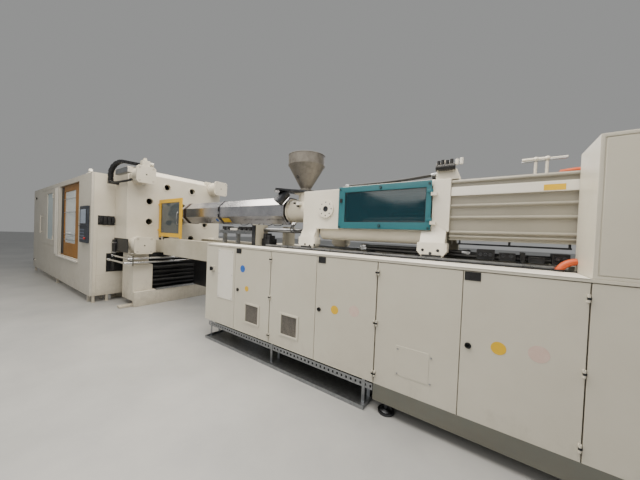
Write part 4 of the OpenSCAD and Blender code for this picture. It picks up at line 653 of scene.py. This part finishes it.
def dressClampSide():
    s = clampSet
    face, width = s["panelFace"], s["bezelWidth"]
    x0, x1, z0, z1 = s["screen"]
    columns, rows, stepX, stepZ = s["keys"]
    placeTable("machine", {
        "screen_bezel": ("black_plastic", (
            blockPiece, (x0 - width, face - 0.004, z0 - width), (x1 + width, face + 0.0003, z1 + width),
            0.0015, "-Y", 0.016, -0.003)),
        "screen_glass": ("screen_glow", (
            blockPiece, (x0, face - 0.0018, z0), (x1, face - 0.0006, z1), 0.0004, "-Y", 0.006, -0.0002)),
    })
    key = blockPiece((-1.160, face - 0.0035, 1.242), (-1.132, face + 0.0025, 1.276), 0.002, "-Y", 0.005, -0.0008)
    keys = repeatPiece(key, [moved(i * stepX, 0, j * stepZ) for i in range(columns) for j in range(rows)])
    finishPiece(joinPieces(keys), "panel_keys", "key_grey", "machine")
    placeTable("machine", {f"jamb_strip_{side}": ("cover_white", (
        blockPiece, (x0, -1.398, 0.756), (x1, -1.3922, 2.462), 0.002, "-Y", 0.035, 0.004))
        for side, (x0, x1) in s["jambs"].items()})
    placeTable("front_gate", {
        # painted shade: a black strip on the gate's left edge, for the shadow in the gap beside the jamb
        "gate_edge_painted_shade": ("black_plastic", (
            blockPiece, (-3.190, -1.3365, 0.800), (-2.985, -1.3323, 2.450), 0.0015, "-Y", 0.012, -0.001)),
        "gate_window_bars": ("zinc_fitting", *[
            (blockPiece, (-2.950, -1.3365, z), (-1.956, -1.3325, z + 0.012), 0.0012, "-Y", 0.003, 0.001)
            for z in s["windowBars"]]),
    })
    placeTable("machine", {
        "sill_strip": ("cover_white", (
            blockPiece, (-3.370, -1.4062, 0.7205), (-1.468, -1.378, 0.7545), 0.003, "+Z", 0.006, -0.001)),
        **{f"cover_stud_{where}": ("black_plastic", *facing(
            [place], s["front"], s["front"] - 0.022, 0.032, 0.004, 32, 0.016, 0.004))
            for where, place in s["studs"].items()},
        "cover_top_fitting": (
            "cover_white",
            (blockPiece, (-1.16, -1.345, 2.580), (-0.96, -1.245, 2.612), 0.005, "+Z", 0.012, 0.008),
            (knobPiece, (-1.10, -1.295, 2.612), (-1.00, -1.310, 2.672), 0.034, 0.004, 28, 0.026, 0.006),
            (knobPiece, (-1.02, -1.295, 2.612), (-1.02, -1.295, 2.650), 0.020, 0.003, 24)),
    })


# Fixed platen, lower cylinder and pipes
platenSet = {
    "capFace": 0.335,
    "capCentres": ((-0.805, 1.183), (0.805, 1.183), (-0.805, 2.547), (0.805, 2.547)),
    "boltReach": (0.117, 0.121),  # from a cap's centre to its bolts, sideways and up
    "pocketHoses": ((-0.600, 0.014), (-0.578, 0.018), (-0.552, 0.015), (-0.530, 0.012), (-0.505, 0.017)),
    "platenHoses": (  # height and radius
        (0.345, 0.030), (0.430, 0.036), (0.525, 0.026), (0.610, 0.032), (0.715, 0.040), (0.820, 0.028), (0.915, 0.034)),
    "clipHeights": (1.19, 0.99),
}


def platenHose(i, z, radius):  # lies across under the platen, swaying a little up and down
    x, sway = 0.012 + radius, 0.022 * (-1) ** i
    return hosePiece, [(x, -0.590, z), (x, -0.32, z - sway), (x + 0.02, -0.05, z + sway), (x, 0.25, z - 0.5 * sway),
                       (x, 0.590, z)], radius


def pocketHose(i, x, radius):
    y = -1.003 - radius - 0.008 * (i % 2)
    return hosePiece, [(x, y, 1.262), (x + 0.004, y - 0.006, 1.16), (x - 0.006, y - 0.004, 1.06), (x + 0.006, y, 0.97),
                       (x - 0.010, y - 0.010, 0.86), (x - 0.030, y - 0.012, 0.74), (x - 0.050, y, 0.62)], radius


def dressPlaten():
    s = platenSet
    face, centres, (reachY, reachZ) = s["capFace"], s["capCentres"], s["boltReach"]
    placeScrews("cap_bolts", 0.010, 0.007, "+X",
                [(face - 0.010, y + dy * reachY, z + dz * reachZ)
                 for y, z in centres for dy in (-1, 1) for dz in (-1, 1)],
                "machine", "black_plastic")
    placeTable("machine", {
        "cap_plugs": ("black_plastic", *[
            (knobPiece, (face - 0.006, y, z), (face + 0.001, y, z), 0.013, 0.001, 6) for y, z in centres]),
        # painted shade: black sheets set in the recesses and gaps round the platen and under the bed, where there is
        # only deep shade
        "recess_painted_shade": (
            "black_plastic",
            (blockPiece, (-0.610, -1.0062, 1.030), (0.120, -1.0004, 1.300), 0.001, "-Y", 0.012, -0.002),
            (blockPiece, (-0.664, -1.150, 0.570), (-0.660, -0.830, 0.985), 0.001, "+X", 0.012, -0.001),
            (blockPiece, (0.006, -0.598, 0.2903), (0.012, 0.598, 1.0140), 0.001, "+X", 0.012, -0.002),
            (blockPiece, (0.300, 0.2000, 0.310), (2.400, 0.2060, 1.0320), 0.001, "-Y", 0.012, -0.002)),
        "oil_tray": ("dark_steel", (
            blockPiece, (-0.010, -0.560, 0.2903), (0.272, 0.560, 0.3020), 0.003, "+Z", 0.010, -0.005)),
        "oil_tray_lip": ("zinc_fitting", (
            blockPiece, (0.2705, -0.560, 0.2800), (0.2780, 0.560, 0.3200), 0.002, "+X", 0.003, 0.001)),
        "platen_hoses": ("hose_rubber", *[
            platenHose(i, *hose) for i, hose in enumerate(s["platenHoses"])]),
        "pocket_hoses": ("hose_rubber", *[
            pocketHose(i, *hose) for i, hose in enumerate(s["pocketHoses"])]),
        "pocket_hose_clips": ("zinc_fitting", *[
            (blockPiece, (-0.622, -1.052, z), (-0.482, -1.001, z + 0.022), 0.003, "-Y", 0.006, 0.003)
            for z in s["clipHeights"]]),
        "column_ledge": ("cover_white", (
            blockPiece, (-0.690, -0.946, 1.0155), (0.2, -0.936, 1.024), 0.002, "+Z", 0.002, 0.001)),
        "chain_arm": (
            "galvanised",
            (blockPiece, (-0.300, -1.108, 2.545), (0.300, -1.102, 2.640), 0.002, "-Y", 0.010, -0.003),
            (blockPiece, (-0.300, -1.108, 2.545), (0.300, -1.030, 2.551), 0.002, "-Z", 0.010, -0.002)),
        "chain_cable": ("hose_rubber", (
            hosePiece, [(-0.420, -1.130, 2.400), (-0.250, -1.120, 2.385), (0.000, -1.090, 2.395),
                        (0.180, -1.050, 2.400), (0.240, -1.010, 2.430)], 0.022)),
    })


# Barrel side
shieldSet = {
    "axis": 1.865,
    "flat": 0.2005,  # from the axis to a folded flat
    "endRing": (0.575, 0.655),
    "endBead": (0.650, 0.660),
    "strap": (1.768, 1.816),
    "tag": (1.835, 2.045),
    "dot": 1.665,
}
trayConnectorSet = {
    "tray": ((2.02, 2.975), -0.335, -0.245, 1.495),
    "posts": (2.10, 2.45, 2.85),
    "boxes": (2.10, 2.23, 2.52, 2.63, 2.74, 2.84),
    "nuts": (2.135, 2.265, 2.555, 2.665, 2.775, 2.875),
    "leads": (2.35, 2.62, 2.90, 3.12),
}


def foldedRing(x0, x1, grow):  # eight-sided band round the shield
    flat = shieldSet["flat"] + grow
    ring = turnedPiece((x0, 0, 0), (x1, 0, 0), flat / math.cos(math.radians(22.5)), 8)
    corner = ring.data.vertices[0].co
    turn = math.radians(22.5 - math.degrees(math.atan2(corner.z, corner.y)) % 45)
    ring.data.transform(moved(z=shieldSet["axis"]) @ Matrix.Rotation(turn, 4, "X"))
    deselectAll()
    bpy.context.view_layer.objects.active = ring
    ring.select_set(True)
    pickFaces(ring, lambda f: abs(f.normal.x) > 0.9)
    bpy.ops.mesh.delete(type="FACE")
    bpy.ops.object.mode_set(mode="OBJECT")
    wall = ring.modifiers.new("wall", "SOLIDIFY")
    wall.thickness = 0.004
    wall.offset = 1.0
    bpy.ops.object.modifier_apply(modifier="wall")
    return roundEdges(ring, 0.001)


def onLowerFlat(make, *values):  # modelled about the axis, then turned onto the flat below the operator's side
    piece = make(*values)
    turn = moved(z=shieldSet["axis"]) @ Matrix.Rotation(math.radians(45), 4, "X") @ moved(y=-0.2008)
    piece.data.transform(turn)
    return piece


def dressShield():
    s = shieldSet
    (tagX0, tagX1), dotX = s["tag"], s["dot"]
    placeTable(carriage, {
        "shield_end_ring": ("rusted_ring", (foldedRing, *s["endRing"], 0.0032)),
        "shield_end_bead": ("dark_steel", (foldedRing, *s["endBead"], 0.0012)),
        "shield_strap": ("strap_dark", (foldedRing, *s["strap"], 0.0050)),
        "strap_buckle": ("zinc_fitting", (
            blockPiece, (1.772, -0.222, 1.830), (1.812, -0.2045, 1.872), 0.003, "-Y", 0.008, -0.003)),
        "blank_tag_shield": ("spot_yellow", (
            onLowerFlat, blockPiece, (tagX0, -0.0012, -0.045), (tagX1, 0.0, 0.045), 0.0004, "-Y", 0.003, -0.0002)),
        "blank_dot_shield": ("spot_blue", (
            onLowerFlat, knobPiece, (dotX, -0.0002, 0), (dotX, -0.0012, 0), 0.035, 0.0004, 40, 0.032, 0.0002)),
    })


def trayHose(i, z):
    y, top = -0.30 + 0.012 * (i % 3), z + 0.075 + 0.018 * (i % 2)
    return [(2.17 + i * 0.01, y, top), (2.40, y - 0.012, top - 0.004), (2.58 + 0.05 * i, y - 0.004, top + 0.006),
            (2.72 + 0.03 * i, y, top), (2.93, y, top - 0.010)]


def dressUnderBarrel():
    s = trayConnectorSet
    (x0, x1), y0, y1, z = s["tray"]
    placeTable("machine", {
        "hose_tray": (
            "zinc_fitting",
            (blockPiece, (x0, y0, z), (x1, y1, z + 0.006), 0.0015, "+Z", 0.004, -0.001),
            (blockPiece, (x0, y0, z), (x1, y0 + 0.004, z + 0.055), 0.001, "-Y", 0.008, -0.0008),
            *[(blockPiece, (x, -0.320, 1.3305), (x + 0.04, -0.260, z), 0.002, "-Y", 0.006, -0.002)
              for x in s["posts"]]),
        "tray_connectors": ("black_plastic", *[
            (blockPiece, (x, -0.328, z + 0.007), (x + 0.07, -0.252, z + 0.115), 0.004, "-Y", 0.008, -0.003)
            for x in s["boxes"]]),
        "tray_junction_box": ("cover_white", (
            blockPiece, (2.285, -0.325, z + 0.007), (2.475, -0.255, z + 0.085), 0.004, "-Y", 0.010, -0.003)),
        "connector_nuts": ("zinc_fitting", *facing(
            [(x, z + 0.055) for x in s["nuts"]], -0.329, -0.347, 0.013, 0.0015, 6)),
    })
    placeHoses("tray_hoses", [trayHose(i, z) for i in range(5)], 0.009, "machine")
    placeTable("machine", {
        "bed_valve": (
            "dark_steel",
            (blockPiece, (3.090, -0.350, 1.3305), (3.245, -0.200, 1.440), 0.004, "-Y", 0.012, -0.004),
            (blockPiece, (3.105, -0.335, 1.440), (3.165, -0.225, 1.520), 0.004, "-Y", 0.008, -0.003),
            (blockPiece, (3.178, -0.335, 1.440), (3.232, -0.225, 1.490), 0.004, "-Y", 0.008, -0.003)),
        "anchor_cover_plate": ("dark_steel", (
            blockPiece, (2.978, -0.4428, 1.3305), (3.056, -0.4403, 1.632), 0.0008, "-Y", 0.006, -0.0006)),
    })
    placeHoses("throat_water_hoses", [
        [(3.866, -0.300, 1.585), (3.80, -0.300, 1.583), (3.72, -0.296, 1.566), (3.63, -0.286, 1.578),
         (3.585, -0.26, 1.62), (3.58, -0.185, 1.68)],
        [(3.866, -0.325, 1.560), (3.79, -0.326, 1.556), (3.70, -0.320, 1.542), (3.60, -0.300, 1.552),
         (3.545, -0.26, 1.60), (3.54, -0.180, 1.68)]], 0.012, carriage)
    placeTable(carriage, {"heater_leads": ("hose_rubber", *[
        (hosePiece, [(x, -0.150, 1.668), (x + 0.01, -0.160, 1.645), (x + 0.06, -0.165, 1.636),
                     (x + 0.16, -0.160, 1.640), (x + 0.20, -0.150, 1.668)], 0.006) for x in s["leads"]])})


# Hopper and throat
hopperSet = {
    "centre": (3.592, 0.0),
    "rim": (2.6545, 0.262, 0.0045),  # height, radius and thickness of the rolled edge
    "sightEnd": (3.5661, -0.1592, 2.3333),
    "sightWay": (-0.150, -0.853, -0.500),
    "throatFlange": (3.8266, 1.865, 0.1985, 10),  # place, axis height, radius and count of its screws
}


def rolledRim(x, y, z, radius, thickness):
    deselectAll()
    bpy.ops.mesh.primitive_torus_add(location=(x, y, z), major_radius=radius, minor_radius=thickness,
                                     major_segments=96, minor_segments=10)
    bpy.ops.object.transform_apply(location=True, rotation=True, scale=True)
    bpy.ops.object.shade_smooth_by_angle(angle=math.radians(50))
    return bpy.context.object


def ringJoint(x, y):  # lapped sheet seam, on the side turned away from the throat
    seam = blockPiece((x - 0.014, y - 0.2665, 2.520), (x + 0.014, y - 0.2615, 2.650), 0.0012, "-Y", 0.004, 0.0006)
    seam.data.transform(moved(x, y) @ Matrix.Rotation(math.radians(-62), 4, "Z") @ moved(-x, -y))
    return seam


def dressHopper():
    s = hopperSet
    end, way = Vector(s["sightEnd"]), Vector(s["sightWay"]).normalized()
    placeTable("hopper", {
        "sight_rim": ("black_plastic", (
            knobPiece, end - way * 0.010, end + way * 0.002, 0.0225, 0.001, 36, 0.014, 0.004)),
        "sight_glass": ("cover_white", (
            knobPiece, end - way * 0.004, end - way * 0.0005, 0.0138, 0.0006, 32, 0.011, 0.0005)),
        "hopper_rolled_rim": ("hopper_steel", (rolledRim, *s["centre"], *s["rim"])),
        "hopper_ring_joint": ("hopper_steel", (ringJoint, *s["centre"])),
    })
    placeTable(carriage, {
        "throat_sensor_box": ("cover_white", (
            blockPiece, (3.600, -0.212, 1.930), (3.655, -0.160, 1.972), 0.003, "-Y", 0.007, -0.002)),
        "throat_plugs": ("black_plastic", *facing(
            ((3.570, 1.955), (3.628, 1.912)), -0.185, -0.225, 0.012, 0.002, 20, 0.007, 0.003)),
    })
    x, z, radius, count = s["throatFlange"]
    angles = [math.radians(360 / count * i + 10) for i in range(count)]
    placeScrews("throat_flange_screws", 0.009, 0.012, "-X",
                [(x, radius * math.cos(a), z + radius * math.sin(a)) for a in angles], carriage, "dark_steel")


# Carriage
carriageSet = {
    "flange": (4.232, -0.422, 1.838),
    "flangeBolts": (8, 0.078),  # count and radius of their circle
    "footHoles": ((3.973, 1.407), (4.043, 1.392), (4.113, 1.407), (5.349, 1.430), (5.416, 1.402), (5.479, 1.430)),
    "cheek": -0.4552,
    "wipers": ((3.912, 4.072), (5.342, 5.507)),
    "coverTag": (6.183, 6.307, 1.932, 1.977),
    "drum": (5.415, 5.575, -0.372, 2.190),
    "drumRings": (8, 0.0200, 0.0155),  # count, step and width
    "capPlaces": (5.431, 5.466, 5.503, 5.540, 5.584, 5.620),
    "stems": ((6.141, 2.205), (6.211, 2.192)),
    "sidePlugs": (-0.300, -0.245, -0.190, -0.135),
}


def dressCarriage():
    s = carriageSet
    x, y, z = s["flange"]
    count, circle = s["flangeBolts"]
    placeTable(carriage, {"flange_centre": ("dark_steel", (
        knobPiece, (x, y + 0.012, z), (x, y - 0.004, z), 0.0335, 0.002, 40, 0.019, 0.010))})
    angles = [math.radians(360 / count * i) for i in range(count)]
    placeScrews("flange_bolts", 0.0075, 0.009, "-Y",
                [(x + circle * math.cos(a), y + 0.0085, z + circle * math.sin(a)) for a in angles],
                carriage, "dark_steel")
    placeScrews("foot_screws", 0.010, 0.006, "-Y", [(x, s["cheek"], z) for x, z in s["footHoles"]],
                carriage, "dark_steel")
    tagX0, tagX1, tagZ0, tagZ1 = s["coverTag"]
    x0, x1, y, z = s["drum"]
    rings, step, width = s["drumRings"]
    caps = [(knobPiece, (x, -0.345, z + 0.022), (x, -0.345, 2.262 + 0.006 * (i % 2)), 0.0145, 0.002, 24, 0.009, 0.004)
            for i, x in enumerate(s["capPlaces"])]
    placeTable(carriage, {
        **{f"shoe_wiper_{i}": ("black_plastic", (
            blockPiece, (padX0, -0.462, 1.3690), (padX1, -0.4505, 1.3885), 0.002, "-Y", 0.003, -0.001))
            for i, (padX0, padX1) in enumerate(s["wipers"])},
        "block_plug": ("cover_white", *facing(
            [(3.937, 1.665)], -0.3995, -0.4045, 0.014, 0.001, 28, 0.009, 0.002)),
        # painted highlight: a pale strip along the cylinder cover's upper ridge, for the light the ridge catches from
        # above
        "cover_ridge_painted_highlight": ("cover_white", (
            blockPiece, (5.556, -0.3872, 1.925), (6.744, -0.3852, 2.002), 0.0008, "-Y", 0.006, 0.001)),
        "blank_tag_cover": ("spot_yellow", (
            blockPiece, (tagX0, -0.3892, tagZ0), (tagX1, -0.3875, tagZ1), 0.0004, "-Y", 0.003, -0.0002)),
        "hose_drum_sleeve": (
            "hose_rubber",
            *[(knobPiece, (x0 + i * step, y, z), (x0 + width + i * step, y, z), 0.0300, 0.003, 36)
              for i in range(rings)],
            (knobPiece, (x0, y, z), (x1, y, z), 0.0255, 0.002, 32)),
        "hose_drum_holders": ("casting_light", *[
            (blockPiece, (x, y - 0.006, z - 0.034), (x + 0.010, -0.3402, z + 0.006), 0.002, "-Y", 0.003, 0.001)
            for x in (x0 + 0.010, x1 - 0.020)]),
        "hose_caps": ("black_plastic", *caps[:4]),
        "hose_caps_pale": ("cover_white", *caps[4:]),
        "valve_stems": ("zinc_fitting", *[
            (knobPiece, (x, -0.250, 2.072), (x, -0.250, top), 0.009, 0.002, 24, 0.0054, 0.003)
              for x, top in s["stems"]]),
        "valve_pipes": ("zinc_fitting", (
            knobPiece, (6.050, -0.255, 2.190), (6.324, -0.255, 2.199), 0.006, 0.001, 20)),
        "manifold_side_plugs": ("black_plastic", *[
            (knobPiece, (5.4125, y, 2.118), (5.372, y, 2.118), 0.013, 0.002, 20, 0.008, 0.003)
              for y in s["sidePlugs"]]),
    })
    placeHoses("lid_hoses", [
        [(4.425, -0.300, 2.112), (4.62, -0.302, 2.113), (4.85, -0.300, 2.116), (5.10, -0.302, 2.124),
         (5.28, -0.305, 2.140), (5.41, -0.310, 2.150)],
        [(4.430, -0.270, 2.112), (4.70, -0.268, 2.113), (5.00, -0.272, 2.118), (5.24, -0.275, 2.134),
         (5.41, -0.280, 2.150)]], 0.011, carriage)
    placeTable(carriage, {"orange_leads_top": ("hose_orange", *[
        (hosePiece, [(6.29, y, 2.088), (6.38, y - 0.005, 2.092 + rise), (6.48, y, 2.090), (6.60, y + 0.015, 2.091),
                     (6.74, y + 0.020, 2.089)], 0.020) for y, rise in ((-0.250, 0.010), (-0.205, 0.0))])})


driveGuardSet = {
    "corners": [(x, z) for x in (4.431, 5.378) for z in (1.629, 2.046)],
    "middle": ((4.9045, 1.647), (4.9045, 2.042)),
    "window": (4.491, 5.352, 1.683, 2.012),
    "bead": 0.006,  # half its width
}


def dressDriveGuard():
    s = driveGuardSet
    x0, x1, z0, z1 = s["window"]
    wide = s["bead"]
    placeTable("drive_guard", {
        "guard_fasteners": (
            "black_plastic",
            *facing(s["corners"], -0.4265, -0.4350, 0.0102, 0.0015, 28, 0.006, 0.002),
            *facing(s["middle"], -0.4265, -0.4412, 0.0142, 0.002, 32, 0.008, 0.003),
            (blockPiece, (4.434, -0.4405, 1.902), (4.460, -0.4265, 1.944), 0.003, "-Y", 0.006, -0.002)),
        "guard_window_bead": (
            "black_plastic",
            *[(blockPiece, (x0 - wide, -0.4192, z - wide), (x1 + wide, -0.4172, z + wide), 0.0008, "-Y", 0.002, -0.0004)
              for z in (z0, z1)],
            *[(blockPiece, (x - wide, -0.4192, z0), (x + wide, -0.4172, z1), 0.0008, "-Y", 0.002, -0.0004)
              for x in (x0, x1)]),
    })


# Top of the bed, right part
bedSet = {
    "saddles": (4.75, 5.25, 6.05),
    "blocks": ((5.77, 5.90, 1.462), (5.93, 6.04, 1.440), (6.07, 6.10, 1.452), (6.12, 6.22, 1.425), (6.26, 6.36, 1.455)),
    "nuts": (5.80, 5.835, 5.87, 5.96, 6.01, 6.29, 6.33),
    "leadBar": (5.632, 5.996, 6.360),
}


def lowerHose(i):
    y, z = -0.296 + i * 0.030, 1.392 + 0.018 * (i % 2)
    return [(4.66, y, z), (4.78, y - 0.004, z + 0.004), (4.98, y + 0.006, z), (5.25, y - 0.006, z),
            (5.58, y + 0.004, z + 0.004), (5.95, y - 0.010, z), (6.36, y + 0.005, z + 0.006)]


def upperHose(i):
    y, z = -0.282 + i * 0.034, 1.430 - 0.006 * (i % 2)
    return [(4.64, y, z - 0.01), (4.85, y + 0.008, z), (5.15, y - 0.006, z - 0.006), (5.45, y + 0.006, z),
            (5.72, y, z - 0.010)]


def dressBed():
    s = bedSet
    placeHoses("bed_hoses", [lowerHose(i) for i in range(4)] + [upperHose(i) for i in range(3)], 0.016, "machine")
    placeTable("machine", {
        "bed_hose_saddles": ("dark_steel", *[
            (blockPiece, (x, -0.3220, 1.3302), (x + 0.03, -0.1850, 1.376), 0.003, "-Y", 0.006, -0.002)
            for x in s["saddles"]]),
        "bed_edge_seal": ("black_plastic", (
            blockPiece, (2.46, -0.4715, 1.3362), (7.10, -0.4702, 1.3480), 0.0005, "-Y", 0.002, -0.0003)),
        "bed_connectors": ("black_plastic", *[
            (blockPiece, (x0, -0.345, 1.372), (x1, -0.245, top), 0.004, "-Y", 0.010, -0.004)
            for x0, x1, top in s["blocks"]]),
        "bed_connector_nuts": ("dark_steel", *facing(
            [(x, 1.418) for x in s["nuts"]], -0.346, -0.366, 0.014, 0.002, 20, 0.008, 0.003)),
    })
    placeTable(carriage, {
        "cover_lead_bar": (
            "dark_steel",
            (knobPiece, (5.620, -0.300, 1.500), (6.372, -0.300, 1.498), 0.007, 0.001, 16),
            *[(knobPiece, (x, -0.300, 1.500), (x, -0.300, 1.5318), 0.008, 0.001, 16) for x in s["leadBar"]]),
    })
    placeTable("machine", {
        "orange_lead_low": ("hose_orange", (
            hosePiece, [(6.374, -0.455, 1.412), (6.345, -0.458, 1.408), (6.315, -0.460, 1.392), (6.292, -0.462, 1.368),
                        (6.280, -0.463, 1.338)], 0.024)),
        "orange_lead_gland": ("black_plastic", (
            knobPiece, (6.280, -0.463, 1.3352), (6.280, -0.463, 1.352), 0.034, 0.003, 28, 0.026, 0.002)),
    })


# Purge guard
def dressPurgeGuard():
    placeTable("machine", {
        "purge_switch": (
            "black_plastic",
            (blockPiece, (0.030, -0.4270, 1.232), (0.075, -0.4010, 1.330), 0.004, "-Y", 0.008, -0.003),
            (knobPiece, (0.052, -0.4265, 1.262), (0.052, -0.4420, 1.262), 0.012, 0.002, 24, 0.007, 0.003)),
    })
    placeTable("purge_guard", {
        "purge_guard_pull": ("zinc_fitting", (
            hosePiece, [(0.800, -0.4300, 1.62), (0.800, -0.4500, 1.63), (0.800, -0.4560, 1.70), (0.800, -0.4560, 1.78),
                        (0.800, -0.4500, 1.85), (0.800, -0.4300, 1.86)], 0.006)),
    })


dressCabinet()
dressClampSide()
dressPlaten()
print("cabinet, covers and platen are dressed")
dressShield()
dressUnderBarrel()
dressHopper()
dressCarriage()
dressDriveGuard()
dressBed()
dressPurgeGuard()
print("injection side is dressed")
